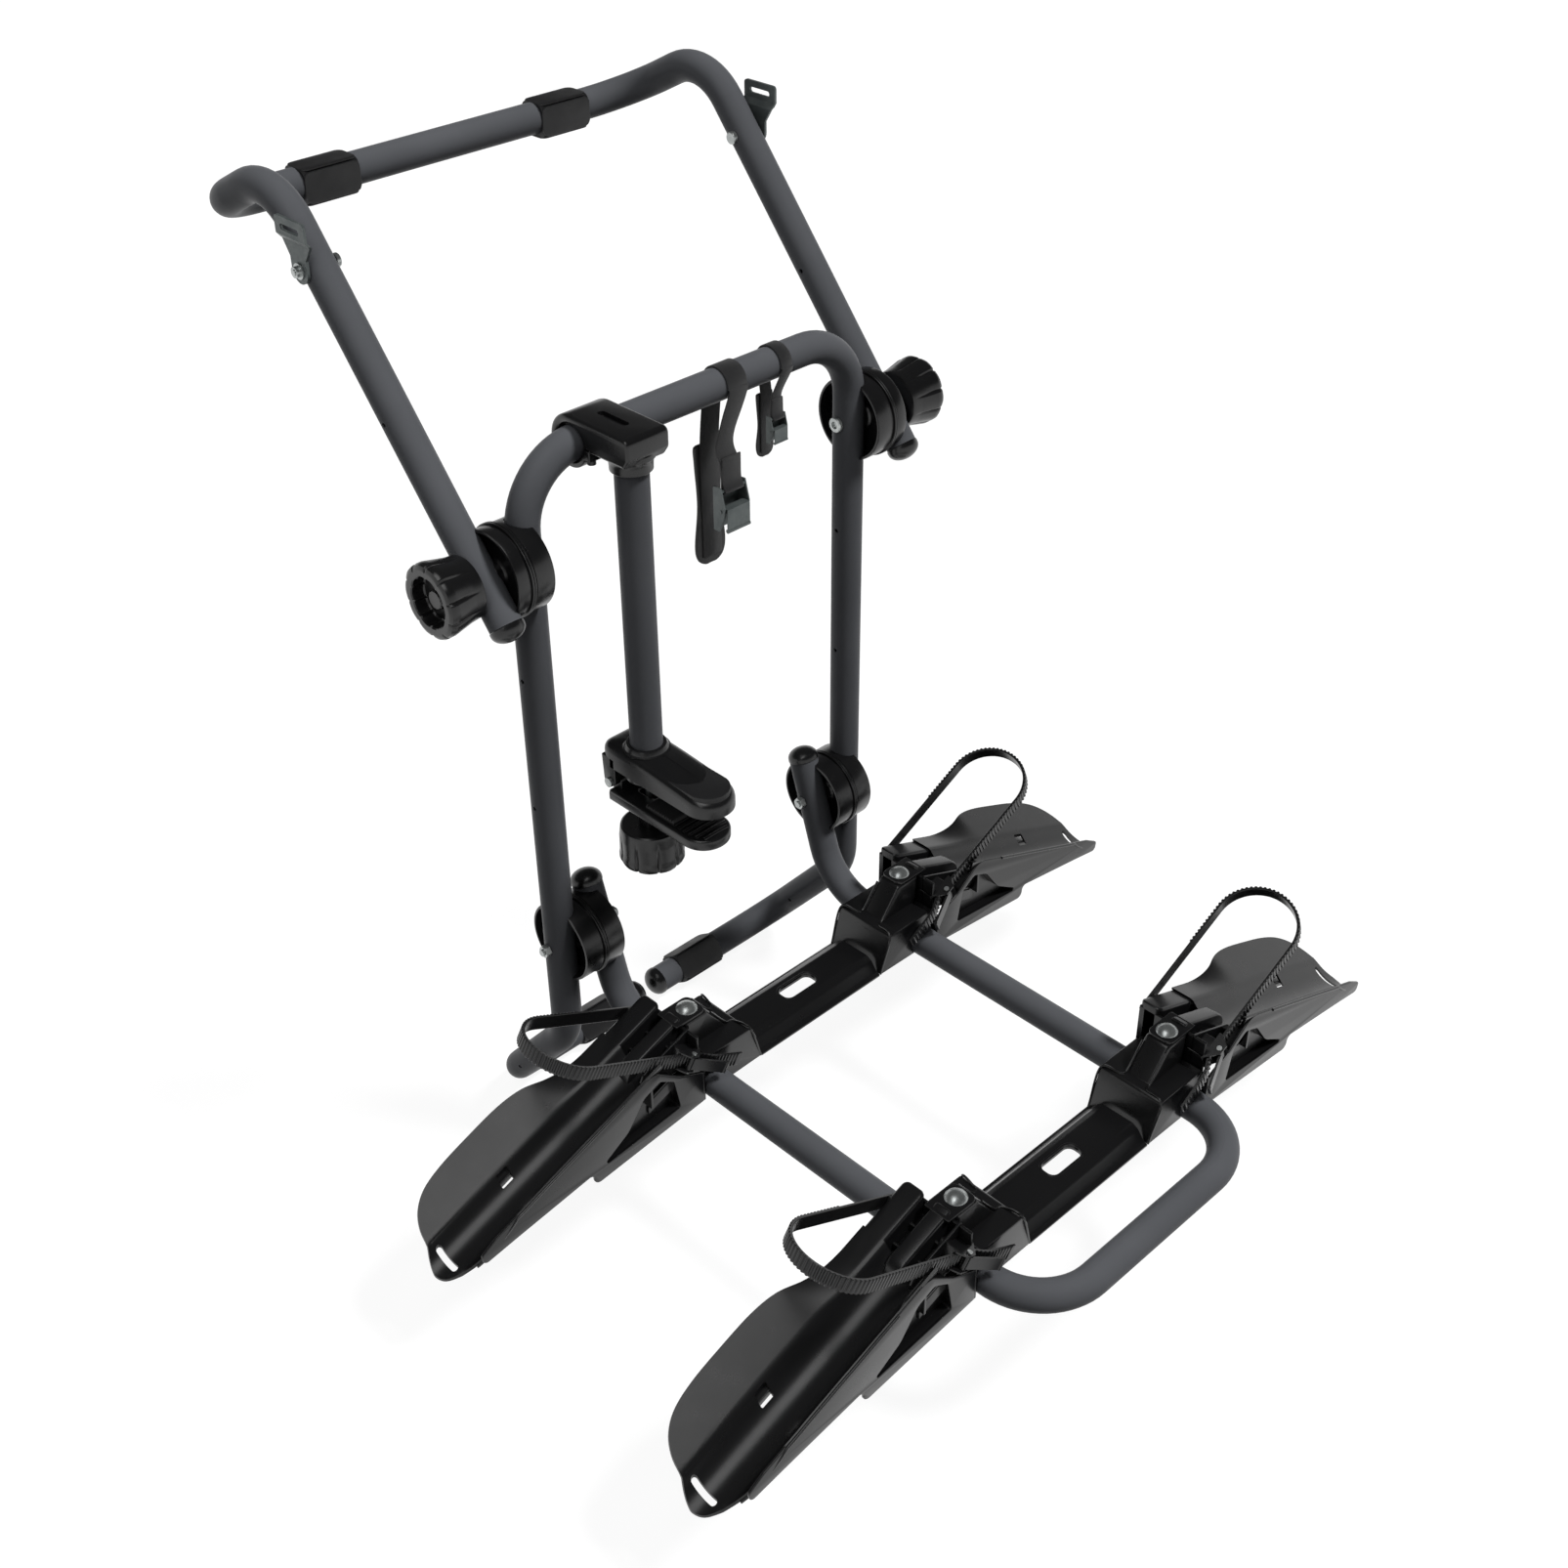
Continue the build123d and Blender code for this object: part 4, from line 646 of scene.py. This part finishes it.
def makeKnobs():
    side = resampled(knobProfile(46.0, 39.0, 32.0))
    for direction, word in ((1, "right"), (-1, "left")):
        x = direction * 296.8
        shape = turnedBody(side, 320, (x, 0, upperHinge), (direction, 0, 0), knobLobes(10, 46.0))
        tube = rod((direction * upperX, 0, upperHinge), legUp, 17.8, 260)
        name = "side_knob_" + word
        makePiece(name + "_grip", cutFrom(shape, [tube], 0), "black_plastic", name, name, 28)
    low = resampled(knobProfile(47.0, 36.0, 33.0, 4.15))
    shape = turnedBody(low, 288, (*armPlace, 469.0), (0, 0, -1), knobLobes(9, 47.0))
    makePiece("jaw_knob_grip", shape, "black_plastic", "jaw_knob", "jaw_knob", 28)
    print("pods and knobs made")


# End caps and sleeves

def makeEndCaps():
    # Domed cap: a plug, a collar and a quarter ellipse, 18.3 by 12.6, from the rim to the crown
    def cap(end, outward):
        rise = np.linspace(0, 1, 9)
        dome = np.c_[18.3 * np.cos(rise * math.pi / 2), 3.4 + 12.6 * np.sin(rise * math.pi / 2)]
        profile = np.concatenate([[(0, -8), (15.8, -8), (15.8, -0.1), (17.6, 0), (18.3, 0.8)], dome])
        return turnedBody(profile, 48, end, outward)
    upperEnd = (upperX, -50 * legUp[1], upperHinge - 50 * legUp[2])
    stubEnd = (railX, 50 * stubUp[1], lowerHinge + 50 * stubUp[2])
    ends = (
        ("main_end_caps", "main_frame", (22.0, 134.0, 33.0), (-1, 0, 0)),
        ("upper_end_caps", "upper_frame", upperEnd, tuple(-v for v in legUp)),
        ("stub_end_caps", "tray_frame", stubEnd, stubUp))
    for name, body, end, outward in ends:
        makePiece(name + "_domes", bothSides(cap(end, outward)), "black_plastic", body, name)


sleeve = {"side": 38.5, "low": 20.5, "high": 18.0, "length": 68.0, "skin": 1.3, "corner": 8.0}


def makeSleeves():
    # Square rubber sleeve: a body round the tube and a raised panel with round corners on each of its sides
    def one(x, y, z, turn):
        half, low, high, skin = sleeve["side"] / 2, sleeve["low"], sleeve["high"], sleeve["skin"]
        a = math.radians(turn)
        across, up = np.array([0, math.cos(a), math.sin(a)]), np.array([0, -math.sin(a), math.cos(a)])
        middle = np.array([x + sleeve["length"] / 2, y, z])
        outline = rounded([(-half, -low), (half, -low), (half, high), (-half, high)], 7.0, 7)
        circle = np.linspace(0, 2 * math.pi, 40, endpoint=False)
        bore = tubeBore * np.c_[np.cos(circle), np.sin(circle)]
        shrink = 1 - skin / half
        parts = [plate([outline * shrink, bore], sleeve["length"] - 1, 0.4, middle, across, up)]
        long, wide = sleeve["length"] / 2, half - 2.6
        panel = rounded([(-long, -wide), (long, -wide), (long, wide), (-long, wide)], sleeve["corner"])
        shift = up * (high - low) / 2
        sides = (
            (across, up, half, shift), (-across, up, half, shift), (up, across, high, 0),
            (-up, across, low, 0))
        for way, side, reach, centre in sides:
            parts.append(plate([panel], 2.4, 0.8, middle + centre + way * (reach - 1.2), (1, 0, 0), side))
        return joined(*parts)
    bumpers = bothSides(one(50.0, 134.0, 33.0, 55.0))
    makePiece("bumper_pad_sleeves", bumpers, "rubber", "main_frame", "bumper_pads")
    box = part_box("roof_pads")
    y = (box[0][1] + box[1][1]) * 500
    z = box[1][2] * 1000 + barHeight - sleeve["high"]
    pair = joined(one(-173.0, y, z, 0.0), one(139.0, y, z, 0.0))
    makePiece("roof_pad_sleeves", pair, "rubber", "upper_frame", "roof_pads")
    print("caps and sleeves made")


# Webbing loops

webbing = {
    "long": dict(size=1.0, over=43.0, waist=23.0, buckle=30.0, pad=30.0, drop=108.0, padDrop=68.0),
    "short": dict(size=0.6, over=113.0, waist=98.0, buckle=97.0, pad=112.0, drop=51.0, padDrop=38.0),
}


def webbingLine(w):
    # Middle line of one strip and its width: tail on the pad, over the bar, round the buckle's bar, back up
    s, r = w["size"], 18.9
    barY, barZ = -17.5 - 0.3 - 2.0 - 2.2 * s, -w["drop"]
    turn = abs(barY + r)
    over = np.linspace(0, math.pi, 13)
    fold = np.radians(np.arange(36, 181, 36))
    points = [(w["pad"], 11.9, z) for z in (barZ - 92 * s, barZ - 20 * s, -w["padDrop"] + 3)]
    points += [(w["over"], r + 0.2, -9 * s)]
    points += [(w["over"], r * math.cos(a), r * math.sin(a)) for a in over]
    points += [(w["over"], -r - 0.2, -8 * s), (w["waist"], -r - 0.4, barZ * 0.5)]
    points += [(w["buckle"], -r, barZ * 0.76), (w["buckle"], -r, barZ)]
    points += [(w["buckle"], barY + turn * math.cos(a), barZ - turn * math.sin(a)) for a in fold]
    points += [(w["buckle"], -r - 2.3, barZ + 9 * s), (w["buckle"], -r - 2.2, barZ + 36 * s)]
    line = dense(points, 220)
    width = 26.0 * s * (1 - 0.14 * np.exp(-((line[:, 2] - barZ * 0.42) / (16 * s)) ** 2) * (line[:, 1] < 0))
    return line, width


def strapShape(line, width, thickness):
    # Flat band: eight points round each section, across X and across the line's own normal
    way = np.gradient(line, axis=0)
    way[:, 0] = 0
    way /= np.linalg.norm(way, axis=1)[:, None]
    normal = np.c_[np.zeros(len(way)), -way[:, 2], way[:, 1]]
    h, k = width / 2, thickness / 2
    around = [(-1, -1), (-0.96, -1.35), (0.96, -1.35), (1, -1), (1, 1), (0.96, 1.35), (-0.96, 1.35), (-1, 1)]
    rings = [line + np.c_[a * h, np.zeros((len(h), 2))] + normal * (b * k / 1.35) for a, b in around]
    points = np.stack(rings, axis=1)
    count = len(line) * 8
    caps = [list(range(8)), list(range(count - 8, count))]
    along = np.concatenate([[0], np.cumsum(np.linalg.norm(np.diff(line, axis=0), axis=1))])
    across = np.array([a for a, b in around])[None, :] * h[:, None]
    mapping = np.stack([across, np.repeat(along[:, None], 8, axis=1)], -1).reshape(-1, 2)
    return points.reshape(-1, 3), gridQuads(len(line), 8, True).tolist() + caps, mapping


def weaveWithValleyShade(name, pitch):
    # Height is sin(across) times sin(along), in the strip's own millimetres; the colour follows it, with
    # painted shade darkening the valleys
    material, shader = newMaterial(name, Roughness=0.75, Sheen_Weight=0.25, Sheen_Roughness=0.5)
    place = node(material, "ShaderNodeUVMap", uv_map="strip")
    parts = node(material, "ShaderNodeSeparateXYZ")
    join(material, place.outputs["UV"], parts.inputs[0])
    waves = []
    for axis in (0, 1):
        stretch = node(material, "ShaderNodeMath", operation="MULTIPLY")
        stretch.inputs[1].default_value = 2 * math.pi / pitch
        join(material, parts.outputs[axis], stretch.inputs[0])
        wave = node(material, "ShaderNodeMath", operation="SINE")
        join(material, stretch.outputs[0], wave.inputs[0])
        waves.append(wave.outputs[0])
    product = node(material, "ShaderNodeMath", operation="MULTIPLY_ADD")
    join(material, waves[0], product.inputs[0])
    join(material, waves[1], product.inputs[1])
    product.inputs[2].default_value = 0.5
    # painted shade: the colour runs from the webbing's darker tone in the weave's valleys to its lighter
    # tone on the crests
    colour = blendColours(material, product.outputs[0], *finish["webbing"])
    join(material, colour, shader.inputs["Base Color"])
    join(material, bumpFrom(material, product.outputs[0], 0.6, 0.00012), shader.inputs["Normal"])
    return material


def makeWebbing():
    weave = weaveWithValleyShade("wovenWebbing", 1.7)
    strips = [strapShape(*webbingLine(w), 1.9) for w in webbing.values()]
    points, faces = joined(*[(p, f) for p, f, m in strips])
    mapping = np.concatenate([m for p, f, m in strips])
    mesh = bpy.data.meshes.new("crossbar_webbing_strips")
    mesh.from_pydata((points / 1000).tolist(), [], faces)
    layer = mesh.uv_layers.new(name="strip")
    corner = np.empty(len(mesh.loops), int)
    mesh.loops.foreach_get("vertex_index", corner)
    layer.data.foreach_set("uv", mapping[corner].ravel())
    mesh.shade_smooth()
    mesh.set_sharp_from_angle(angle=math.radians(50))
    cleaned(mesh)
    mesh.materials.append(weave)
    piece = linked("crossbar_webbing_strips", mesh)
    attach(piece, "main_frame")
    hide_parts("crossbar_webbing")


def makeStrapPads():
    # Waisted rubber tongue: right edge through eight points, mirrored, with a thick rounded rim
    tongues = []
    for w in webbing.values():
        s, top, low = w["size"], -w["padDrop"], -w["drop"] - 102 * w["size"]
        half = 21.0 * s
        right = dense(
            [(half - 5 * s, top), (half - 1.5 * s, top - 4 * s), (half - 2.5 * s, top - 24 * s),
             (half - 5 * s, (top + low) / 2), (half, low + 26 * s), (half - 3 * s, low + 8 * s),
             (half - 12 * s, low + 0.5 * s), (0, low)], 50)
        outline = np.concatenate([right[:-1], right[::-1] * (-1, 1)])
        middle = (w["pad"], 13.1 + 2.25 * s, barHeight)
        tongues.append(plate([outline], 4.5 * s, 1.5 * s, middle, **fromBack))
    makePiece("strap_pad_tongues", joined(*tongues), "rubber", "main_frame", "strap_pads")
    print("webbing and pads made")


makePods()
makeKnobs()
makeEndCaps()
makeSleeves()
makeWebbing()
makeStrapPads()

# Clamp arm

def makeArmHead():
    # Head: half round over the crossbar's bore, flat top and a nose with a raked lower corner, with a collar
    # for the arm's tube and a slot on top. The clamp below closes the bore and has a flange on each side
    x, y = armPlace
    r, bore, top, seam = 29.0, 19.7, barHeight + 29.0, 0.15
    above, below = barHeight + seam, barHeight - seam
    t = np.linspace(0, math.pi / 2, 14)
    back = np.c_[r * np.cos(t), above + (r - seam) * np.sin(t)]
    nose = rounded(
        [(-20, top), (-86, top), (-86, 912), (-79, 902), (-r, 902), (-r, above)], [0, 7, 6, 3, 1, 0.5])
    half = np.linspace(math.pi, 0, 40)
    upper = np.c_[bore * np.cos(half), above + bore * np.sin(half)]
    outline = np.concatenate([back, nose, upper])
    head = plate([outline], 54.0, 3.6, (x, 0, 0), **fromSide)
    skirt = [(0, 888), (20.6, 888), (21.6, 889), (21.9, 896), (22.6, 900), (25, 903), (25, 908), (0, 908)]
    collar = turnedBody(skirt, 64, (x, y, 0))
    slot = rounded([(-57, x - 4.2), (-15, x - 4.2), (-15, x + 4.2), (-57, x + 4.2)], 4.0)
    slotTool = plate([slot], 14.0, 0.3, (0, 0, top + 2.5), (0, 1, 0), (1, 0, 0))
    shape = cutFrom(head, [rod((x, y, 893), (0, 0, 1), tubeBore, 60, 64), slotTool], 0.5, 50, [collar])
    makePiece("arm_head_casting", shape, "black_plastic", "arm", "arm_head")
    turn = np.radians(np.linspace(206, 334, 40))
    belly = np.c_[25 * np.cos(turn), barHeight + 25 * np.sin(turn)]
    lower = np.c_[bore * np.cos(-half), below + bore * np.sin(-half)][::-1]
    flange = [[(-r, below), (-r, 892.6)], belly, [(r, 892.6), (r, below)], lower]
    clamp = plate([np.concatenate(flange)], 54.0, 1.2, (x, 0, 0), **fromSide)
    makePiece("arm_clamp_casting", clamp, "black_plastic", "arm", "arm_clamp")


jawForm = {"back": -14.0, "tip": -181.0, "half": 28.0, "top": 567.0, "tipTop": 557.0, "skirt": 540.0}
mouth = {"y": -131.5, "z": 512.0, "radius": 34.0}  # round hollow for a bicycle's tube


def jawRing(inset, height):
    # Plan outline drawn in from the edge by inset: square shoulders of radius 14, half-round tip. height is
    # (share, more): that share of the way from the skirt to the crown, which falls towards the tip, and more
    f, points = jawForm, 144
    half = f["half"] - inset
    back, tip = f["back"] - inset, f["tip"] + inset
    t = np.linspace(0, math.pi, points // 2)
    tipArc = np.c_[half * np.cos(t), tip + half - half * np.sin(t)]
    corner = max(14.0 - inset, 3.0)
    q = np.linspace(0, math.pi / 2, points // 8)
    left = np.c_[-half + corner - corner * np.cos(q), back - corner + corner * np.sin(q)]
    right = left[::-1] * (-1, 1)
    loop = np.concatenate([tipArc, left, right, tipArc[:1]])
    s = np.concatenate([[0], np.cumsum(np.linalg.norm(np.diff(loop, axis=0), axis=1))])
    even = np.linspace(0, s[-1], points, endpoint=False)
    flat = np.c_[np.interp(even, s, loop[:, 0]), np.interp(even, s, loop[:, 1])]
    fall = np.clip((f["back"] - 50 - flat[:, 1]) / (f["back"] - 50 - f["tip"]), 0, 1) ** 1.5
    crown = f["top"] + (f["tipTop"] - f["top"]) * fall
    return np.c_[flat, f["skirt"] + height[0] * (crown - f["skirt"]) + height[1]]


def makeJaws():
    # Upper jaw: rings from the spine over a rounded shoulder to the skirt, and back up the inside, with the
    # arm's socket, its floor and two cheeks. The lining has a round hollow with ribs
    outside = [
        (26.0, (1, 1.6)), (15.0, (1, 0.9)), (8.0, (1, 0.0)), (4.2, (1, -1.2)), (1.9, (1, -3.2)),
        (0.5, (1, -6)), (0.0, (1, -9)), (0.0, (0, 0))]
    inside = [
        (1.2, (0, -0.6)), (2.8, (0, -0.6)), (4.0, (0, 0.6)), (4.0, (1, -8)), (7.0, (1, -4.2)),
        (26.0, (1, -4.0))]
    shell = np.stack([jawRing(*ring) for ring in outside + inside])
    count = shell.shape[1]
    ends = [list(range(count)), list(range((len(shell) - 1) * count, len(shell) * count))]
    points = shell.reshape(-1, 3) + (armPlace[0], 0, 0)
    cover = (points, gridQuads(len(shell), count, True).tolist() + ends)
    socket = [
        (17.7, 534), (24.8, 534), (24.8, 566), (25.6, 567.6), (23.6, 568.6), (22.6, 571), (21.4, 573),
        (19.5, 573.6), (17.7, 573.2), (17.7, 534)]
    floor = [(4.1, 532), (24.0, 532), (24.8, 533), (24.8, 537.6), (4.1, 537.6), (4.1, 532)]
    parts = [cover, turnedBody(socket, 72, (*armPlace, 0)), turnedBody(floor, 48, (*armPlace, 0))]
    for side in (-1, 1):
        cheek = rounded([(-37, 552), (-37, 520), (-28, 511), (-19, 520), (-17, 552)], [1, 7, 9, 7, 1], 8)
        parts.append(plate([cheek], 9.0, 1.2, (armPlace[0] + side * 23.5, 0, 0), **fromSide))
    makePiece("jaw_upper_shell", joined(*parts), "black_plastic", "jaw", "jaw_upper")
    outline = jawRing(4.4, (0, 0))[:, :2]
    pad = plate([outline], 23.0, 0.8, (armPlace[0], 0, 551.5))
    hollow = rod((armPlace[0], mouth["y"], mouth["z"]), (1, 0, 0), mouth["radius"], 90, 72)
    front = mergedShape(*roundedBlock((-180, -86, 530), (-90, 0, 580), 1, 0.3))
    shape = cutFrom(pad, [hollow, front], 0.6, 50)
    ribs = []
    for i in range(9):
        a, r = math.radians(-58 + i * 14.5), mouth["radius"] - 0.4
        y, z = mouth["y"] + r * math.sin(a), mouth["z"] + r * math.cos(a)
        if z > 541:  # lower ribs would hang below the lining
            line = np.array([(armPlace[0] - 21, y, z), (armPlace[0], y, z), (armPlace[0] + 21, y, z)])
            ribs.append(tubeAlong(line, 1.3, 10))
    makePiece("jaw_upper_lining", joined(shape, *ribs), "rubber", "jaw", "jaw_pad_upper")


def makeLowerJaw():
    # Tongue with a rounded rim and six raised ribs near the tip, hinge knuckle and boss
    t = np.linspace(0, math.pi, 40)
    tip = np.c_[28 * np.cos(t), -173 + 28 - 28 * np.sin(t)]
    outline = np.concatenate([tip, [(-28, -26), (-25, -23), (25, -23), (28, -26)]])
    stud = rounded([(-5, -71.5), (5, -71.5), (5, -46.5), (-5, -46.5)], 4.9)
    x = armPlace[0]
    knuckle = rounded([(-36, 497), (-23, 497), (-20, 520), (-28, 528), (-36, 520)], [2, 2, 8, 8, 8])
    a = np.linspace(math.pi, 2 * math.pi, 20)
    boss = np.c_[-59 + 14 * np.cos(a), 496 + 14 * np.sin(a)]
    parts = [plate([outline, stud], 13.0, 3.0, (x, 0, 501.5))]
    parts.append(plate([knuckle], 37.4, 1.0, (x, 0, 0), **fromSide))
    parts.append(plate([boss], 28.0, 1.5, (x, 0, 0), **fromSide))
    for i in range(6):
        y = -163.0 + 8 * i
        half = math.sqrt(max(28.0 ** 2 - max(-145 - y, 0) ** 2, 60)) - 5
        line = np.array([(x - half, y, 508.2), (x, y, 508.6), (x + half, y, 508.2)])
        parts.append(tubeAlong(line, 1.9, 12))
    makePiece("jaw_lower_tongue", joined(*parts), "black_plastic", "lower_jaw", "jaw_lower")
    print("arm head and jaws made")


# Wheel trays: bridges, rail clamps, bolts and straps

tray = {"bridgeLength": 194.0, "boltRadius": 15.0, "boltSeat": 80.7}


def makeBridges():
    # Arched channel: closed outline of its wall carried across, then the window and its raised rim
    outside = [(-41, -12), (-41, -9), (-36, -8), (-27, 4), (-19, 8)]
    inside = [(-38, -12), (-38, -11), (-34.5, -11), (-25.4, 1.2), (-18.3, 5)]
    wall = outside + [(-y, z) for y, z in outside[::-1] + inside] + inside[::-1]
    radii = [0.8, 1.2, 5, 9, 7, 7, 9, 5, 1.2, 0.8] + [0.3, 0.3, 3, 7, 5, 5, 7, 3, 0.3, 0.3]
    beam = plate([rounded(wall, radii)], tray["bridgeLength"], 0.6, **fromSide)
    hole = rounded([(-25, -10.5), (25, -10.5), (25, 10.5), (-25, 10.5)], 8.0)
    wide = rounded([(-28, -13.5), (28, -13.5), (28, 13.5), (-28, 13.5)], 11.0)
    beam = cutFrom(beam, [plate([hole], 60, 0.3)], 0)
    rim = plate([wide, hole], 7.4, 0.9, (0, 0, 4.9))
    makeOnTrays("_tray_bridge", "_arch", joined(beam, rim))


def makeClamps():
    # Saddle: broad base with sloping ends, narrow spine up to the bolt, a bead along its edges
    t = np.radians(np.linspace(26, 223, 26))
    groove = np.c_[railX + tubeBore * np.cos(t), tubeBore * np.sin(t)]
    slope = rounded([(97.3, -12), (114, 40), (187, 40)], [1, 6, 3])[:-1]
    line = np.concatenate([slope, [(187, 37)], groove])
    ridge = rounded([(108, 30), (127, 40), (155, 76), (187, 76), (187, 30)], [1, 5, 7, 3, 1])
    parts = [plate([line], 82.0, 1.4, **fromBack), plate([ridge], 32.0, 4.2, **fromBack)]
    edge = np.array(
        [(150, 15.4, 70.5), (128, 15.4, 42.4), (119, 18, 40.2), (113.4, 40.2, 38.4), (98.4, 40.4, -10)])
    for way in (-1, 1):
        parts.append(tubeAlong(dense(edge * (1, way, 1), 60), 1.3, 8))
    makeOnTrays("_tray_clamps", "_saddles", bothSides(joined(*parts)))


def makeTrayBolts():
    # Shank, rolled rim and dome: the arc of a circle of radius 15 from the rim to the crown
    r = tray["boltRadius"]
    t = np.linspace(math.asin(12.0 / r), 0, 12)
    dome = np.c_[r * np.sin(t), tray["boltSeat"] + r * (np.cos(t) - math.cos(t[0]))]
    profile = np.concatenate([[(0, -34), (4, -34), (4, 79.8), (11.6, 79.9), (12.2, 80.3)], dome])
    points, faces = turnedBody(profile, 56, (railX, 0, railHeight))
    bolts = [bothSides((points + (0, y, 0), faces)) for y in trayRows.values()]
    makePiece("tray_bolt_domes", joined(*bolts), "zinc_steel", "tray_frame", "tray_bolts")


wheelStrap = {"thick": 2.6, "wide": 16.0, "loop": 46.6, "reach": 150.0, "pitch": 5.0, "tooth": 1.3}


def makeWheelStraps():
    # Band in its own plane: tail, near limb, half circle and far limb, sampled evenly by length; the outer
    # face carries square teeth, whose height is a smoothed on-off wave of the length
    w, loop, reach = wheelStrap, wheelStrap["loop"], wheelStrap["reach"]
    t = np.linspace(-math.pi / 2, math.pi / 2, 60)[1:-1]
    arc = np.c_[reach + loop * np.cos(t), loop + loop * np.sin(t)]
    tail = dense([(-70, -10.5), (-48, -9.6), (-26, -8), (-6, -0.6), (10, 0)], 40)
    line = np.concatenate([tail, [(reach, 0)], arc, [(reach, 2 * loop), (-2, 2 * loop)]])
    s = np.concatenate([[0], np.cumsum(np.linalg.norm(np.diff(line, axis=0), axis=1))])
    even = np.arange(0, s[-1], 0.5)
    line = np.c_[np.interp(even, s, line[:, 0]), np.interp(even, s, line[:, 1])]
    way = np.gradient(line, axis=0)
    way /= np.linalg.norm(way, axis=1)[:, None]
    out = np.c_[way[:, 1], -way[:, 0]]
    toothed = np.clip((np.sin(2 * math.pi * even / w["pitch"]) + 0.15) * 4, 0, 1) * w["tooth"]
    toothed *= (even > 4) & (even < s[-1] - 95)
    half, wide = w["thick"] / 2, w["wide"] / 2
    rings = []
    for n, edge in ((-wide, 0.4), (-wide + 0.5, 0), (wide - 0.5, 0), (wide, 0.4)):
        rings.append(np.c_[line + out * (half + toothed - edge)[:, None], np.full(len(line), n)])
    for n, edge in ((wide, 0.4), (wide - 0.5, 0), (-wide + 0.5, 0), (-wide, 0.4)):
        rings.append(np.c_[line - out * (half - edge), np.full(len(line), n)])
    points = np.stack(rings, axis=1)
    count = len(line) * 8
    faces = gridQuads(len(line), 8, True).tolist() + [list(range(8)), list(range(count - 8, count))]
    band = onStrapPlane(points.reshape(-1, 3), faces)
    makeOnTrays("_wheel_straps", "_toothed", bothSides(band), 30)
    print("tray pieces made")


makeArmHead()
makeJaws()
makeLowerJaw()
makeBridges()
makeClamps()
makeTrayBolts()
makeWheelStraps()

# Floor, lights, camera

studio = {
    "floorHalf": 14.0,
    "backdropHeight": 4.5,
    "floorColour": (0.14, 0.14, 0.14, 1),
    "floorGlow": 0.91,
    "ambient": 0.07,
    "camera": dict(
        place=(-1.25345, -1.41400, 0.84685), look=(0.57026, 0.58590, -0.57578), roll=-0.46, lens=46.27),
    "topSoftbox": dict(size=(1.5, 1.8), energy=23.0, place=(-1.35, -0.60, 2.35), aim=(-0.4, -0.2, -0.7)),
    "sideStrip": dict(size=(0.5, 0.9), energy=4.5, place=(-2.4, -1.0, 1.3), aim=(0, -0.1, -0.3)),
    "daylight": dict(strength=3.1, angle=12.0, direction=(-0.30, 0.44, -0.85)),
    "backFill": dict(strength=0.6, angle=40.0, direction=(0.20, -0.90, -0.40)),
}


def makeFloor():
    # Square floor with four walls far behind the carrier. It glows for the camera and in mirrors only
    half = studio["floorHalf"]
    low = cadBox[0][2] - 0.0005
    corners = [(-half, -half), (half, -half), (half, half), (-half, half)]
    points = [(x, y, z) for z in (low, low + studio["backdropHeight"]) for x, y in corners]
    walls = [(i, i + 4, (i + 1) % 4 + 4, (i + 1) % 4) for i in range(4)]
    mesh = bpy.data.meshes.new("floor")
    mesh.from_pydata(points, [], [(0, 1, 2, 3)] + walls)
    material, shader = newMaterial(
        "paleFloor", Base_Color=studio["floorColour"], Roughness=0.9, Specular_IOR_Level=0.1,
        Emission_Color=(1, 1, 1, 1))
    rays = node(material, "ShaderNodeLightPath").outputs
    seen = rays["Is Camera Ray"]
    for kind in ("Is Glossy Ray", "Is Transmission Ray"):
        either = node(material, "ShaderNodeMath", operation="ADD")
        join(material, seen, either.inputs[0])
        join(material, rays[kind], either.inputs[1])
        seen = either.outputs[0]
    glow = node(material, "ShaderNodeMath", operation="MULTIPLY")
    glow.inputs[1].default_value = studio["floorGlow"]
    join(material, seen, glow.inputs[0])
    join(material, glow.outputs[0], shader.inputs["Emission Strength"])
    mesh.materials.append(material)
    linked("floor", mesh)


def makeLamp(name):
    look = studio[name]
    lamp = bpy.data.lights.new(name, "AREA")
    lamp.shape = "RECTANGLE"
    lamp.size, lamp.size_y = look["size"]
    lamp.energy = look["energy"]
    holder = linked(name, lamp)
    holder.location = look["place"]
    aim = Vector(look["aim"]) - Vector(look["place"])
    holder.rotation_euler = aim.to_track_quat("-Z", "Y").to_euler()


def makeSun(name):
    # Lights every surface but isn't mirrored: glossy ones show the area lamps and the pale floor
    look = studio[name]
    lamp = bpy.data.lights.new(name, "SUN")
    lamp.energy = look["strength"]
    lamp.angle = math.radians(look["angle"])
    holder = linked(name, lamp)
    holder.rotation_euler = Vector(look["direction"]).to_track_quat("-Z", "Y").to_euler()
    holder.visible_glossy = False


def makeWorld():
    world = bpy.data.worlds.new("studioWorld")
    world.use_nodes = True
    bpy.context.scene.world = world
    back = world.node_tree.nodes["Background"]
    back.inputs["Color"].default_value = (1, 1, 1, 1)
    back.inputs["Strength"].default_value = studio["ambient"]


def makeCamera():
    # Stands behind the carrier's left corner, looking 35 degrees down, rolled by half a degree
    view = studio["camera"]
    lens = bpy.data.cameras.new("photoCamera")
    lens.sensor_width = 36.0
    lens.lens = view["lens"]
    camera = linked("photoCamera", lens)
    camera.location = view["place"]
    turn = Vector(view["look"]).to_track_quat("-Z", "Y").to_matrix().to_4x4()
    turn = turn @ Matrix.Rotation(math.radians(view["roll"]), 4, "Z")
    camera.rotation_euler = turn.to_euler()
    bpy.context.scene.camera = camera
    print("camera set")


makeFloor()
makeWorld()
makeLamp("topSoftbox")
makeLamp("sideStrip")
makeSun("daylight")
makeSun("backFill")
makeCamera()

bpy.context.scene.view_settings.view_transform = "Standard"
